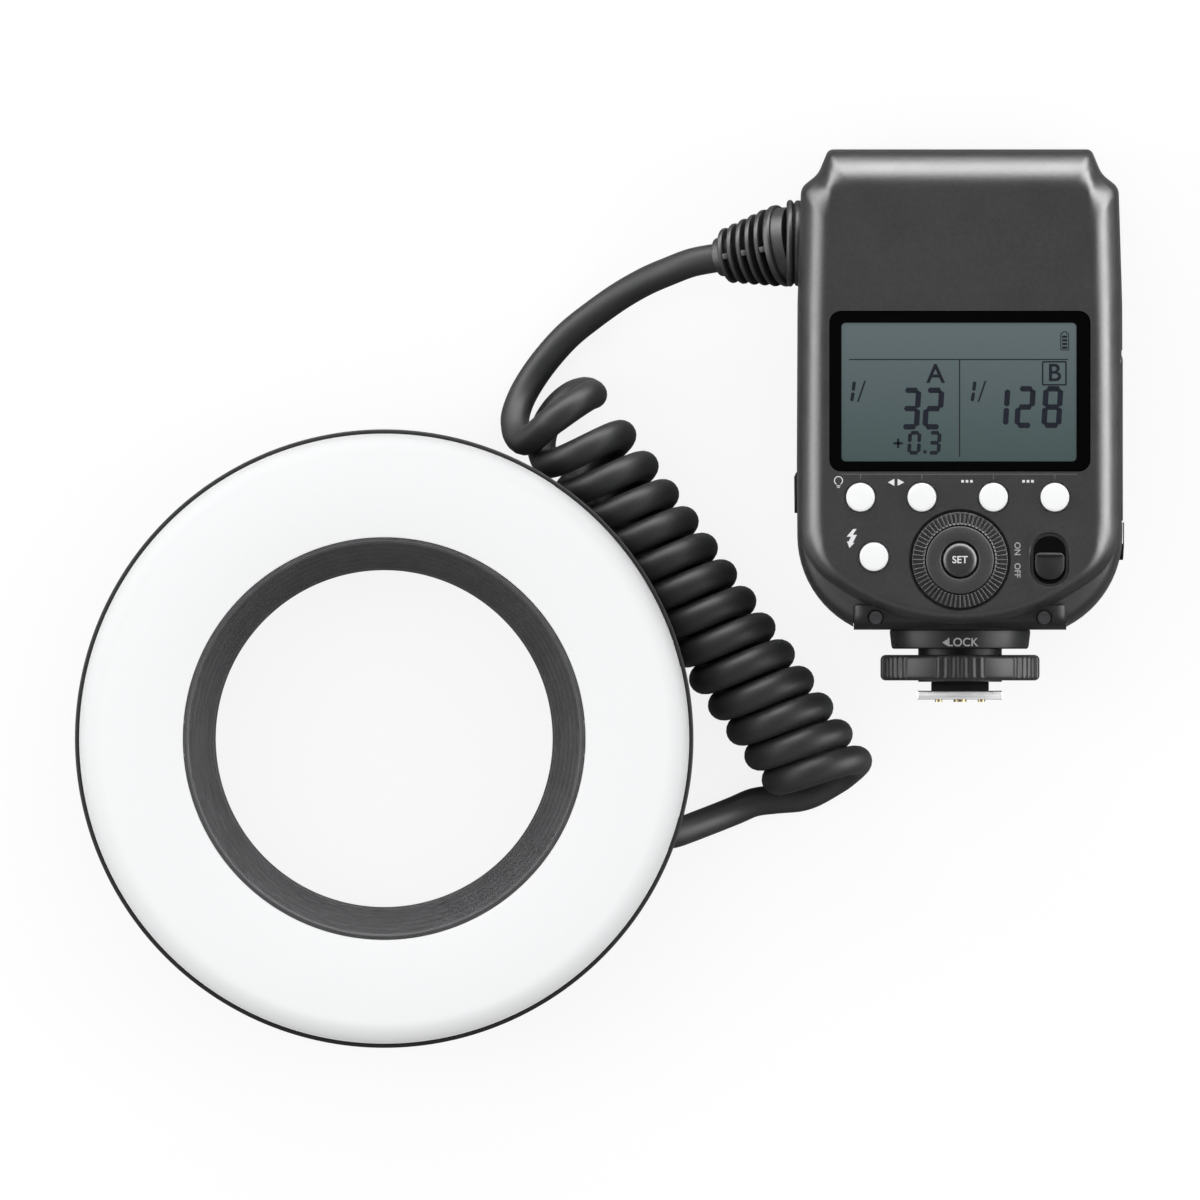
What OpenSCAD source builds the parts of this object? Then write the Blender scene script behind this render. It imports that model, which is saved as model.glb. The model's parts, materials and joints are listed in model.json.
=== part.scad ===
// Macro ring flash lying face up: ring head, curly cord and control unit.
// The origin is the centre of the adapter seat on the ring head's rear face, +Z towards the light.

/* [Ring head] */
// Outer radius of the rim round the diffuser
rim_r = 66.5; // [66:0.1:68]
// Height of the ring head, rear face to diffuser face
head_h = 35; // [34:0.5:38]
// Radius of the clear bore that the lens looks through
bore_r = 36.2; // [35:0.1:37]
// Radius of the seat that takes the lens adapter ring
seat_r = 40; // [39:0.1:41]
// Depth of the adapter seat
seat_d = 5; // [4:0.1:5.5]
// Outer radius of the mounting collar
collar_r = 49; // [48:0.1:50]
// Height of the mounting collar
collar_h = 8; // [7:0.1:8.5]
// Outer radius of the drum behind the rim
drum_r = 58; // [57:0.1:58.4]
// Height where the drum starts to flare
drum_top = 19; // [18:0.1:19.4]
// Underside of the rim above the table
rim_z = 23.4; // [23.2:0.1:24]
// Height of the rim band
rim_h = 3.4; // [3:0.1:4]
// Width of the dark rim seen round the diffuser
rim_lip = 1; // [0.8:0.1:1.4]
// Wall of the ring head's mouldings
head_wall = 2; // [1.6:0.1:2.2]
// Outer radius of the conical bezel at the diffuser face
bezel_r = 43.1; // [42:0.1:44]
// Height where the conical bezel meets the bore
bezel_foot = 24; // [23:0.5:26]
// Thickness of the diffuser
diffuser_t = 2; // [1.6:0.1:2.4]
// Radius of the diffuser's rounded shoulder
shoulder_r = 4.3; // [3.5:0.1:5]

/* [Flash works] */
// Radius of the circle that the flash tubes follow
tube_path_r = 51.5; // [51:0.1:52]
// Radius of a flash tube's glass
tube_r = 2.2; // [1.8:0.1:2.4]
// Angle that each flash tube spans
tube_span = 140; // [120:5:145]
// Height of the flash tubes' axis
tube_z = 22.4; // [22:0.1:23]
// Height of the circuit board in the ring head
ring_board_z = 12.6; // [12.4:0.1:13]
// Thickness of a circuit board
board_t = 1.6; // [1.2:0.1:1.8]

/* [Lens release] */
// Travel of a release button
release_travel = 1.2; // [1:0.1:1.3]
// Width of a release lever
lever_w = 7; // [6:0.5:8]
// Thickness of a release lever
lever_t = 1.8; // [1.6:0.1:2]
// Radius of a lever's pivot pin
pivot_r = 0.8; // [0.7:0.05:0.9]

/* [Control unit] */
// Centre line of the control unit from the bore
unit_x = 123.8; // [122:0.1:126]
// Lower edge of the control unit from the bore
unit_y = 23.2; // [22:0.1:25]
// Width of the control unit
unit_w = 70.8; // [69:0.1:73]
// Height of the housing without its foot
unit_h = 103.5; // [102:0.5:106]
// Depth of the housing, back to front face
unit_d = 50; // [50:0.1:52]
// Height of the parting line between the covers
part_z = 24; // [23:0.5:25]
// Wall of the covers
wall = 1.8; // [1.5:0.1:2]
// Width of the bevel inside the front edge
bevel = 3.3; // [2.8:0.1:3.8]
// Thickness of the raised face plate
face_t = 2; // [1.8:0.1:2.2]

/* [Display and controls] */
// Width of the display window
window_w = 56.2; // [54:0.1:57]
// Height of the display window
window_h = 34.6; // [33:0.1:36]
// Middle of the display window above the lower edge
window_y = 51.5; // [51:0.1:52]
// Radius of a round key
key_r = 2.95; // [2.6:0.05:3.1]
// Height of the row of keys above the lower edge
key_y = 28.7; // [28.2:0.1:29]
// Distance of the outer keys from the centre line
key_outer = 20.9; // [20:0.1:21.5]
// Distance of the inner keys from the centre line
key_inner = 7.7; // [7.3:0.1:8.4]
// Sideways offset of the row of keys
row_x = -0.5; // [-0.6:0.1:0.6]
// Travel of a key
key_travel = 0.7; // [0.5:0.05:0.8]
// Distance of the test key from the centre line
test_x = 18.5; // [17.5:0.1:19.5]
// Height of the test key above the lower edge
test_y = 15.9; // [15:0.1:16.2]
// Height of the dial and switch above the lower edge
dial_y = 15.2; // [14.9:0.1:15.5]
// Radius of the select dial
dial_r = 10.4; // [9.8:0.1:10.8]
// Radius of the fixed cap inside the dial
dial_cap_r = 7.3; // [7:0.1:7.5]
// Number of ribs on the select dial
dial_ribs = 60; // [48:2:72]
// Radius of the set key in the middle of the dial
set_r = 3.75; // [3.4:0.05:4]
// Distance of the power switch from the centre line
switch_x = 19.3; // [18.9:0.1:19.8]
// Width of the power switch's recess
switch_w = 8.7; // [8:0.1:9]
// Height of the power switch's recess
switch_h = 12; // [11.6:0.1:12.4]
// Travel of the power switch
switch_travel = 2.6; // [2.2:0.1:2.8]

/* [Battery compartment] */
// Radius of a battery cell
cell_r = 7.25; // [7:0.05:7.3]
// Length of a battery cell
cell_l = 50.5; // [49:0.1:50.6]
// Height of the battery door
door_h = 36.4; // [36:0.1:37]
// Depth of the battery door
door_d = 35; // [34:0.5:36]
// Thickness of the battery door
door_t = 1.8; // [1.6:0.1:2]
// Radius of the battery door's pin
door_pin_r = 0.8; // [0.7:0.05:0.9]

/* [Shoe] */
// Radius of the fixed collar under the housing
base_r = 15.2; // [14.5:0.1:16]
// Radius of the knurled lock wheel
wheel_r = 17.1; // [16:0.1:18]
// Width of the lock wheel
wheel_w = 5.5; // [5:0.1:6]
// Number of ribs on the lock wheel
wheel_ribs = 60; // [48:6:72]
// Width of the shoe foot
foot_w = 18.6; // [18.3:0.1:18.7]
// Length of the shoe foot
foot_l = 18; // [17.5:0.1:18.4]
// Thickness of the shoe foot's plate
foot_t = 1.9; // [1.7:0.1:2]
// Radius of the lock pin
lock_pin_r = 1.1; // [1:0.05:1.2]

/* [Strain relief and cord] */
// Radius of the strain relief's largest collar
relief_r = 9.35; // [8.8:0.05:9.6]
// Number of ribs on the strain relief
relief_ribs = 5; // [4:1:6]
// Distance between two ribs
relief_pitch = 2.35; // [2.2:0.05:2.45]
// Radius of the last rib
relief_tip_r = 6; // [5.5:0.1:6.5]

/* [Hidden] */

$fn = 64;
gap = 0.3;
fit = 0.05;
cut = 1;
corner_steps = 6;
least_r = 1;

black = "#26272a";
soft_black = "#1d1d1f";
white = "#f2f3f4";
board_green = "#2f6b45";
steel = "#c9ccd0";
copper = "#b87333";

unit_mid_z = unit_d / 2;
half_w = unit_w / 2;
inner_w = half_w - wall;
face_z = unit_d;
shell_z = unit_d - face_t;
seam_x = 22.9;
base_t = 5.2;
base_y = 0.2;

module in_unit() translate([unit_x, unit_y, 0]) children();

function unit_vec(v) = v / norm(v);

// One rounded corner of an outline, as an arc of a few points
function corner(a, p, b, n) =
    let(u = unit_vec([a[0] - p[0], a[1] - p[1]]),
        v = unit_vec([b[0] - p[0], b[1] - p[1]]),
        half = acos(u * v) / 2,
        centre = [p[0], p[1]] + unit_vec(u + v) * p[2] / sin(half),
        from = [p[0], p[1]] + u * p[2] / tan(half) - centre,
        start = atan2(from[1], from[0]))
    [for (i = [0:n]) let(t = start + (180 - 2 * half) * i / n) centre + p[2] * [cos(t), sin(t)]];

// Outline through corners [x, y, radius], counter-clockwise
function rounded(c, n = corner_steps) =
    [for (i = [0:len(c) - 1])
        each corner(c[(i + len(c) - 1) % len(c)], c[i], c[(i + 1) % len(c)], n)];

function mirrored(c) = [for (i = [len(c) - 1:-1:0]) [-c[i][0], c[i][1], c[i][2]]];

// Corner of a convex outline moved inwards by d, with its radius reduced to match
function inner_corner(a, p, b, d) =
    let(u = unit_vec([a[0] - p[0], a[1] - p[1]]),
        v = unit_vec([b[0] - p[0], b[1] - p[1]]),
        half = acos(u * v) / 2,
        q = [p[0], p[1]] + unit_vec(u + v) * d / sin(half))
    [q[0], q[1], max(p[2] - d, least_r)];

function inset(c, d) =
    [for (i = [0:len(c) - 1]) inner_corner(c[(i + len(c) - 1) % len(c)], c[i], c[(i + 1) % len(c)], d)];

// Solid through a stack of outlines with the same corners, each [z, inset]
module loft(corners, levels) {
    n = len(corners) * (corner_steps + 1);
    m = len(levels);
    points = [for (l = levels) each [for (p = rounded(inset(corners, l[1]))) [p[0], p[1], l[0]]]];
    sides = [for (j = [0:m - 2], i = [0:n - 1])
        [j * n + i, (j + 1) * n + i, (j + 1) * n + (i + 1) % n, j * n + (i + 1) % n]];
    floor_face = [for (i = [0:n - 1]) i];
    roof_face = [for (i = [n - 1:-1:0]) (m - 1) * n + i];
    polyhedron(points, concat([floor_face], sides, [roof_face]));
}

unit_half = [
    [half_w - 0.3, 0.7, 14],
    [half_w, unit_h * 0.35, 90],
    [half_w - 0.1, unit_h * 0.68, 90],
    [half_w - 1, unit_h - 8.4, 4.5],
    [half_w - 7, unit_h, 3.5]
];
unit_corners = concat(unit_half, mirrored(unit_half));

panel_half = [
    [half_w - bevel - 1.2, 8, 14],
    [half_w - bevel - 0.9, unit_h * 0.4, 90],
    [half_w - bevel - 1.7, unit_h - 13, 24],
    [half_w - bevel - 3.9, unit_h - 2.8, 4]
];
panel_corners = concat([[0, 1.8, 60]], panel_half, mirrored(panel_half));

module box(x0, x1, y0, y1, z0, z1) translate([x0, y0, z0]) cube([x1 - x0, y1 - y0, z1 - z0]);

module rounded_box(w, h, r, z0, z1)
    translate([0, 0, z0])
        linear_extrude(z1 - z0)
            polygon(rounded([[w / 2, -h / 2, r], [w / 2, h / 2, r], [-w / 2, h / 2, r], [-w / 2, -h / 2, r]]));

module stadium(w, h, z0, z1)
    translate([0, 0, z0]) linear_extrude(z1 - z0) {
        square([w, h - w], center = true);
        for (s = [-1, 1]) translate([0, s * (h - w) / 2]) circle(w / 2);
    }

module ring(r0, r1, z0, z1)
    translate([0, 0, z0]) difference() {
        cylinder(r = r1, h = z1 - z0);
        translate([0, 0, -cut]) cylinder(r = r0, h = z1 - z0 + 2 * cut);
    }

module along_y(y0, z = unit_mid_z) translate([0, y0, z]) rotate([90, 0, 0]) children();

// Ring head

flare_r = rim_r - rim_lip;
sleeve_r = bore_r + 1.6;
back_t = head_wall;
back_z = collar_h + back_t;
lever_r = 44;
pivot_z = 9.2;
button_w = 10.4;
button_z0 = 11.6;
button_z1 = 15.6;
stem_z0 = 13.4;
stem_z1 = 15.2;
claw_z = 1.6;
claw_t = 1.6;
claw_reach = 0.8;
screw_ring_r = 53;
screw_angles = [45:90:315];
gland_a = -19.4;
gland_z = 13.9;
gland_bore_r = 3;
gland_flange_r = 4.6;
gland_nut_r = 3.7;
gland_t = 1.6;
lever_a = [0, 180];
board_r0 = 41;
board_r1 = 55.4;
rim_top = rim_z + rim_h;
coil_r = 11.45;

module ring_rear_housing() color(black) difference() {
    rotate_extrude($fn = 180) polygon([
        [seat_r, 0], [collar_r - 0.6, 0], [collar_r, 0.6], [collar_r, collar_h],
        [drum_r - 1.2, collar_h], [drum_r, collar_h + 1.2], [drum_r, drum_top],
        [flare_r, rim_z], [flare_r, rim_z + 0.6], [flare_r - head_wall, rim_z + 0.6],
        [drum_r - head_wall, drum_top], [drum_r - head_wall, back_z],
        [sleeve_r + fit, back_z], [sleeve_r + fit, seat_d], [seat_r, seat_d]
    ]);
    for (a = lever_a) rotate(a) {
        box(seat_r - 2, lever_r + lever_t / 2 + 1.6 * release_travel + 2 * gap,
            -lever_w / 2 - gap, lever_w / 2 + gap, -cut, back_z + cut);
        box(drum_r - head_wall - cut, drum_r + cut, -button_w / 2 - gap, button_w / 2 + gap,
            button_z0 - gap, button_z1 + gap);
        translate([lever_r, 0, pivot_z]) rotate([90, 0, 0])
            cylinder(r = pivot_r + fit, h = lever_w + 4, center = true);
    }
    for (a = screw_angles) rotate(a) translate([screw_ring_r, 0, collar_h - cut])
        cylinder(r = 1.2, h = back_t + 2 * cut);
    rotate(gland_a) translate([drum_r - head_wall - cut, 0, gland_z]) rotate([0, 90, 0])
        cylinder(r = gland_bore_r, h = head_wall + 2 * cut);
}

module ring_rim_band() color(soft_black)
    rotate_extrude($fn = 180) polygon([
        [flare_r + fit, rim_z], [rim_r - 0.5, rim_z], [rim_r, rim_z + 0.5], [rim_r, rim_top - 0.3],
        [rim_r - 0.3, rim_top], [flare_r + fit, rim_top]
    ]);

function shoulder(r, z, d, n = 8) =
    [for (i = [0:n]) let(t = 90 * i / n) [r - d + d * cos(t), z - d + d * sin(t)]];

diffuser_z0 = rim_z + 0.6;
module ring_diffuser() color(white)
    rotate_extrude($fn = 180) polygon(concat(
        [[flare_r - diffuser_t, diffuser_z0], [flare_r, diffuser_z0]],
        shoulder(flare_r, head_h, shoulder_r),
        [[bezel_r + fit, head_h], [bezel_r + fit, head_h - diffuser_t]],
        [for (i = [8:-1:0]) shoulder(flare_r - diffuser_t, head_h - diffuser_t, shoulder_r - diffuser_t)[i]]
    ));

module lens_bezel() color(soft_black)
    rotate_extrude($fn = 180) polygon([
        [bore_r, seat_d], [sleeve_r, seat_d], [sleeve_r, bezel_foot - 0.6], [bezel_r - 0.4, head_h - diffuser_t],
        [bezel_r, head_h - diffuser_t], [bezel_r, head_h], [bezel_r - 0.9, head_h],
        [bore_r + 0.9, bezel_foot + 1.2], [bore_r, bezel_foot]
    ]);

module flash_tube() color("#e8eef2") rotate(-tube_span / 2)
    translate([0, 0, tube_z]) {
        rotate_extrude(angle = tube_span, $fn = 120) translate([tube_path_r, 0]) circle(tube_r, $fn = 32);
        for (a = [0, tube_span]) rotate(a) translate([tube_path_r, 0, 0]) {
            rotate([90, 0, 0]) cylinder(r = tube_r + 0.3, h = 2.4, center = true);
            translate([0, 0, -(tube_z - ring_board_z - board_t)])
                cylinder(r = 0.6, h = tube_z - ring_board_z - board_t, $fn = 16);
        }
    }
module flash_tube_left() mirror([1, 0, 0]) flash_tube();
module flash_tube_right() flash_tube();

reflector_t = 0.8;
reflector_margin = 6;
module reflector() color(steel) rotate(-tube_span / 2 - reflector_margin) difference() {
    rotate_extrude(angle = tube_span + 2 * reflector_margin, $fn = 120) polygon([
        [tube_path_r - 5.1, tube_z - 4.6], [tube_path_r + 3.7, tube_z - 4.6], [tube_path_r + 10.3, tube_z + 6],
        [tube_path_r + 9.5, tube_z + 6], [tube_path_r + 3.3, tube_z - 4.6 + reflector_t],
        [tube_path_r - 4.7, tube_z - 4.6 + reflector_t], [tube_path_r - 6.6, tube_z + 6],
        [tube_path_r - 7.4, tube_z + 6]
    ]);
    for (a = [reflector_margin, tube_span + reflector_margin]) rotate(a)
        translate([tube_path_r, 0, tube_z - 6]) cylinder(r = 1, h = 6 - tube_r - 0.8);
}
module reflector_left() mirror([1, 0, 0]) reflector();
module reflector_right() reflector();

module ring_circuit_board() color(board_green) difference() {
    union() {
        ring(board_r0, board_r1, ring_board_z, ring_board_z + board_t);
        for (a = screw_angles) rotate(a) translate([screw_ring_r, 0, back_z])
            cylinder(r = 2.4, h = ring_board_z - back_z + 0.2);
    }
    for (a = lever_a) rotate(a)
        box(board_r0 - cut, board_r1 + cut, -button_w / 2 - 1.8, button_w / 2 + 1.8, back_z, button_z1);
    for (a = screw_angles) rotate(a) translate([screw_ring_r, 0, back_z - cut])
        cylinder(r = 1.2, h = ring_board_z);
    rotate(gland_a) box(board_r0 + 6, board_r1 + cut, -gland_nut_r - 1, gland_nut_r + 1, back_z, button_z1);
}

module modelling_lamps() for (a = [90, 270]) rotate(a) translate([tube_path_r, 0, ring_board_z + board_t]) {
    color(steel) cylinder(r = 2.6, h = 4);
    color("#ffe9b0") translate([0, 0, 4]) {
        cylinder(r = 2.2, h = 4);
        translate([0, 0, 4]) sphere(2.2);
    }
}

module trigger_coils() color(copper) for (a = [62, 242]) rotate(a)
    translate([tube_path_r - 3.5, 0, ring_board_z + board_t]) rounded_box(6, 5, 0.6, 0, 3);

module ring_screws() color(steel) for (a = screw_angles) rotate(a) translate([screw_ring_r, 0, 0]) {
    translate([0, 0, collar_h - 1.4]) cylinder(r = 2.2, h = 1.4);
    translate([0, 0, collar_h - 0.1]) cylinder(r = 1.1, h = ring_board_z + board_t - collar_h);
}

module ring_cable_gland() color(soft_black) rotate(gland_a) translate([drum_r, 0, gland_z]) rotate([0, 90, 0]) {
    cylinder(r = gland_flange_r, h = gland_t);
    translate([0, 0, -head_wall - gap - gland_t]) {
        cylinder(r = gland_bore_r - fit, h = head_wall + gap + gland_t + cut);
        cylinder(r = gland_nut_r, h = gland_t);
    }
}

module release_button() color(soft_black) {
    box(drum_r - 3.6, drum_r + 2, -button_w / 2, button_w / 2, button_z0, button_z1);
    box(drum_r - 3.6, drum_r - 2.8, -button_w / 2 - 1.1, button_w / 2 + 1.1, button_z0, button_z1);
    box(lever_r + lever_t / 2 + gap, drum_r - 3.4, -3, 3, stem_z0, stem_z1);
}
module release_button_right() release_button();
module release_button_left() mirror([1, 0, 0]) release_button();

module release_lever() color(steel) {
    box(lever_r - lever_t / 2, lever_r + lever_t / 2, -lever_w / 2, lever_w / 2, claw_z, stem_z1);
    box(seat_r - claw_reach, lever_r, -lever_w / 2, lever_w / 2, claw_z, claw_z + claw_t);
    translate([lever_r, 0, pivot_z]) rotate([90, 0, 0]) {
        cylinder(r = pivot_r, h = lever_w + 3, center = true);
        cylinder(r = 2 * pivot_r, h = lever_w, center = true);
    }
}
module release_lever_right() release_lever();
module release_lever_left() mirror([1, 0, 0]) release_lever();

// Control unit housing

key_hole_r = key_r + gap;
dial_well_r = dial_r + gap;
door_y0 = 23.6;
door_y1 = door_y0 + door_h;
door_z0 = unit_mid_z - door_d / 2;
door_z1 = unit_mid_z + door_d / 2;
pin_x = half_w - 1.5;
knuckle_r = 2;
door_proud = 0.5;
pin_y = door_y1 - knuckle_r;
latch_travel = 1.8;
latch_y0 = 15.2;
latch_half = 5;
latch_t = 1.8;
latch_rest_h = 3.5;
latch_stem = 1.5;
latch_stem_h = 2;
latch_stem_y = latch_y0 + 2;
latch_keeper_t = 0.9;
latch_keeper_half = 3.2;
latch_in_x = inner_w - 1.4;
latch_out_x = half_w + latch_t;
latch_groove = [0.35, 0.7];
latch_groove_pitch = 1.5;
flap_y0 = 25.3;
flap_y1 = 34.2;
flap_z0 = 19.5;
flap_z1 = 30.5;
flap_pin_x = -half_w + 0.3;
flap_knuckle_r = 0.9;
flap_pin_y = flap_y1 - flap_knuckle_r;
relief_y = 83.3;
boss_r = 3;
board_z = face_z - 7;
board_top = board_z + 1.4;
tact_h = 0.9;
key_z = board_top + tact_h + key_travel + 0.1;
key_flange_t = 0.8;
key_flange_r = key_r + 0.7;
key_proud = 0.4;
boss_at = [[-27, 9], [27, 9], [-27, 94], [27, 94]];
case_screw_at = [[-27.5, 12], [27.5, 10], [-27.5, 93], [27.5, 93]];

module keys_at() {
    for (x = [-key_outer, -key_inner, key_inner, key_outer]) translate([row_x + x, key_y, 0]) children();
    translate([-test_x, test_y, 0]) children();
}

module door_space()
    box(pin_x - knuckle_r - gap, half_w + 3, door_y0 - gap, door_y1 + gap, door_z0 - gap, door_z1 + gap);

module pin_space()
    translate([pin_x, pin_y, door_z0 - 1.4]) cylinder(r = door_pin_r, h = door_d + 2.8);

module latch_space()
    box(inner_w - cut, half_w + cut, latch_stem_y - gap, latch_stem_y + latch_stem_h + latch_travel + gap,
        unit_mid_z - latch_stem - gap, unit_mid_z + latch_stem + gap);

module flap_space() {
    box(-half_w - cut, -inner_w + cut, flap_y0 + 1.2, flap_y1 - 2, flap_z0 + 1.2, flap_z1 - 1.2);
    box(-half_w - cut, -half_w + 1.4, flap_y1 - 2.2, flap_y1 + 0.6, flap_z0 - gap, flap_z1 + gap);
    translate([flap_pin_x, flap_pin_y, flap_z0 - 1.2]) cylinder(r = 0.5 + fit, h = flap_z1 - flap_z0 + 2.4);
}

module base_space() box(-seam_x, seam_x, -cut, base_y + base_t, 4, unit_d + cut);

module front_cover() color(black) in_unit() difference() {
    union() {
        difference() {
            union() {
                difference() {
                    loft(unit_corners, [
                        [part_z, 0], [shell_z - 7, 0.3], [shell_z - 4, 0.7], [shell_z - 2, 1.5],
                        [shell_z - 0.6, 2.6], [shell_z, 3.4]
                    ]);
                    base_space();
                }
                loft(panel_corners, [[shell_z - 1.4, 0], [face_z - 0.5, 0], [face_z, 0.5]]);
            }
            loft(unit_corners, [[part_z - cut, wall], [shell_z - 8, wall + 0.2], [shell_z - 2.4, wall + 2.4]]);
            translate([0, window_y, 0]) rounded_box(window_w - 3, window_h - 3, 1.5, shell_z - 4, face_z + cut);
        }
        for (p = boss_at) translate([p[0], p[1], board_top]) cylinder(r = boss_r - 0.6, h = shell_z - 2 - board_top);
    }
    translate([0, window_y, 0]) rounded_box(window_w, window_h, 2.5, face_z - 1.3, face_z + cut);
    keys_at() translate([0, 0, shell_z - 4]) {
        cylinder(r = key_hole_r, h = 8);
        cylinder(r = key_flange_r + gap, h = key_z + key_flange_t + gap - shell_z + 4);
    }
    translate([0, dial_y, shell_z - 0.8]) cylinder(r = dial_well_r, h = 4);
    translate([0, dial_y, shell_z - 4]) cylinder(r = dial_hub_r + gap, h = 4);
    translate([switch_x, dial_y, 0]) stadium(switch_w, switch_h, face_z - 1.2, face_z + cut);
    translate([switch_x, dial_y, 0]) stadium(switch_w - 3.6, switch_h - 1.6, shell_z - 4, face_z);
    translate([switch_x, dial_y, 0]) box(-4 - gap, 4 + gap, -6 - gap, 6 + gap, board_z, board_top + 3 + gap);
    door_space();
    latch_space();
    pin_space();
    flap_space();
    relief_space();
}

module rear_cover() color(black) in_unit() difference() {
    loft(unit_corners, [[0, 5], [0.7, 3.2], [2.6, 1.3], [6, 0.3], [10, 0], [part_z, 0]]);
    loft(unit_corners, [[wall, 6.5], [3.6, 3.2], [10, wall], [part_z + cut, wall]]);
    for (p = case_screw_at) translate([p[0], p[1], -cut]) cylinder(r = 1.6, h = wall + 3);
    door_space();
    latch_space();
    pin_space();
    flap_space();
    base_space();
    relief_space();
}

module base_plate() color(black) in_unit() {
    difference() {
        box(-seam_x, seam_x, base_y, base_y + base_t, 4, shell_z - 1.6);
        for (s = [-1, 1]) translate([s * 18.1, base_y + base_t / 2, shell_z - 8]) cylinder(r = 0.8, h = 10);
    }
}

// Display

module lcd_window() color("#3a4648") in_unit() translate([0, window_y, 0])
    rounded_box(window_w - 0.2, window_h - 0.2, 2.4, face_z - 1.3, face_z - 0.1);

module lcd_panel() color("#5f7173") in_unit() translate([0, window_y, 0])
    rounded_box(window_w - 3.4, window_h - 3.4, 1.6, face_z - 3.2, face_z - 1.4);

module lcd_backlight() color(white) in_unit() translate([0, window_y, 0])
    rounded_box(window_w - 3.6, window_h - 3.6, 1.6, board_top, face_z - 3.3);

// Keys, dial and switch

module key() rotate_extrude() polygon([
    [0, key_z], [key_flange_r, key_z], [key_flange_r, key_z + key_flange_t], [key_r, key_z + key_flange_t],
    [key_r, face_z + key_proud], [key_r - 0.5, face_z + key_proud + 0.5], [0, face_z + key_proud + 0.6]
]);
module key_at(x, y) color(white) in_unit() translate([x, y, 0]) key();
module key_lamp() key_at(row_x - key_outer, key_y);
module key_mode() key_at(row_x - key_inner, key_y);
module key_custom() key_at(row_x + key_inner, key_y);
module key_ratio() key_at(row_x + key_outer, key_y);
module key_test() key_at(-test_x, test_y);

function ribbed(r, depth, n) =
    [for (i = [0:n - 1], s = [0:3])
        let(a = 360 * (i + s / 4) / n, q = (s == 1 || s == 2) ? r : r - depth)
        q * [cos(a), sin(a)]];

// Outline with six grips of ribs and plain stretches between them
function gripped(r, depth, n) =
    [for (i = [0:n - 1], s = [0:3])
        let(a = 360 * (i + s / 4) / n, part = (i % (n / 6)) / (n / 6), held = part > 0.15 && part < 0.75,
            q = (held && s != 1 && s != 2) ? r - depth : r)
        q * [cos(a), sin(a)]];

dial_in_r = dial_cap_r + gap;
dial_hub_r = dial_in_r + 1.1;
dial_z0 = shell_z - 0.4;
dial_top = face_z + 1.2;
module select_dial() color(soft_black) in_unit() translate([0, dial_y, 0]) difference() {
    union() {
        translate([0, 0, dial_z0]) cylinder(r = dial_r, h = face_t);
        translate([0, 0, dial_z0 + face_t - cut]) linear_extrude(dial_top - dial_z0 - face_t + cut)
            polygon(ribbed(dial_r - 0.4, 0.4, dial_ribs));
        translate([0, 0, board_top + 0.6]) cylinder(r = dial_hub_r, h = dial_z0 - board_top);
    }
    translate([0, 0, board_top]) cylinder(r = dial_in_r, h = dial_top - board_top + cut);
}

module dial_cap() color(soft_black) in_unit() translate([0, dial_y, 0])
    ring(set_r + gap, dial_cap_r, board_top, face_z + 0.9);

set_top = face_z + 1.4;
module set_key() color(soft_black) in_unit() translate([0, dial_y, 0]) rotate_extrude() polygon([
    [0, key_z], [set_r, key_z], [set_r, set_top - 0.4], [set_r - 0.5, set_top], [0, set_top + 0.1]
]);

knob_w = switch_w - 2.4;
knob_h = 5;
module power_switch() color(soft_black) in_unit() translate([switch_x, dial_y - switch_travel / 2, 0]) {
    rounded_box(knob_w, knob_h, 2, face_z - 0.9, face_z + 0.5);
    for (k = [-1:1]) translate([0, k * 1.4, 0]) box(-2.4, 2.4, -0.35, 0.35, face_z + 0.4, face_z + 0.9);
    box(-1.6, 1.6, -1.6, 1.6, board_top + 2.5, face_z - 0.8);
}

module main_board() color(board_green) in_unit() difference() {
    translate([0, 0, board_z]) linear_extrude(board_top - board_z)
        polygon(rounded(inset(unit_corners, wall + 3.4), 3));
    for (p = boss_at) translate([p[0], p[1], board_z - cut]) cylinder(r = 1, h = 4);
}

module key_switches() color(steel) in_unit() {
    keys_at() box(-2, 2, -2, 2, board_top, board_top + tact_h);
    translate([0, dial_y, 0]) box(-2, 2, -2, 2, board_top, board_top + tact_h);
}

module dial_encoder() color("#6b6e72") in_unit() translate([0, dial_y, 0])
    ring(dial_hub_r + fit, dial_hub_r + 0.9, board_top, board_top + 1.1);

module switch_body() color("#6b6e72") in_unit() translate([switch_x, dial_y, 0]) difference() {
    box(-4, 4, -6, 6, board_top, board_top + 3);
    box(-2, 2, -4.4, 4.4, board_top + 2.2, board_top + 4);
}

// Power parts

capacitor_r = 10.5;
capacitor_l = 48;
module flash_capacitor() color("#2b2f3a") in_unit()
    translate([-capacitor_l / 2, unit_h - 22, wall + gap + capacitor_r]) rotate([0, 90, 0]) {
        cylinder(r = capacitor_r, h = capacitor_l);
        translate([0, 0, capacitor_l]) cylinder(r = capacitor_r - 0.9, h = 0.8);
    }

module transformer() in_unit() translate([6, unit_h - 30, board_z]) {
    color("#6b6e72") box(-9, 9, -8, 8, -12, -9);
    color(copper) translate([0, 0, -9]) cylinder(r = 6.6, h = 6);
    color("#6b6e72") box(-9, 9, -8, 8, -3, 0);
}

cell_y = 39.6;
cell_z = 23.7;
cell_gap = 0.1;
cell_x1 = half_w - 5.2;
cell_x0 = cell_x1 - cell_l;
holder_t = 1.2;
holder_half = 2 * cell_r + cell_gap + holder_t;

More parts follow.
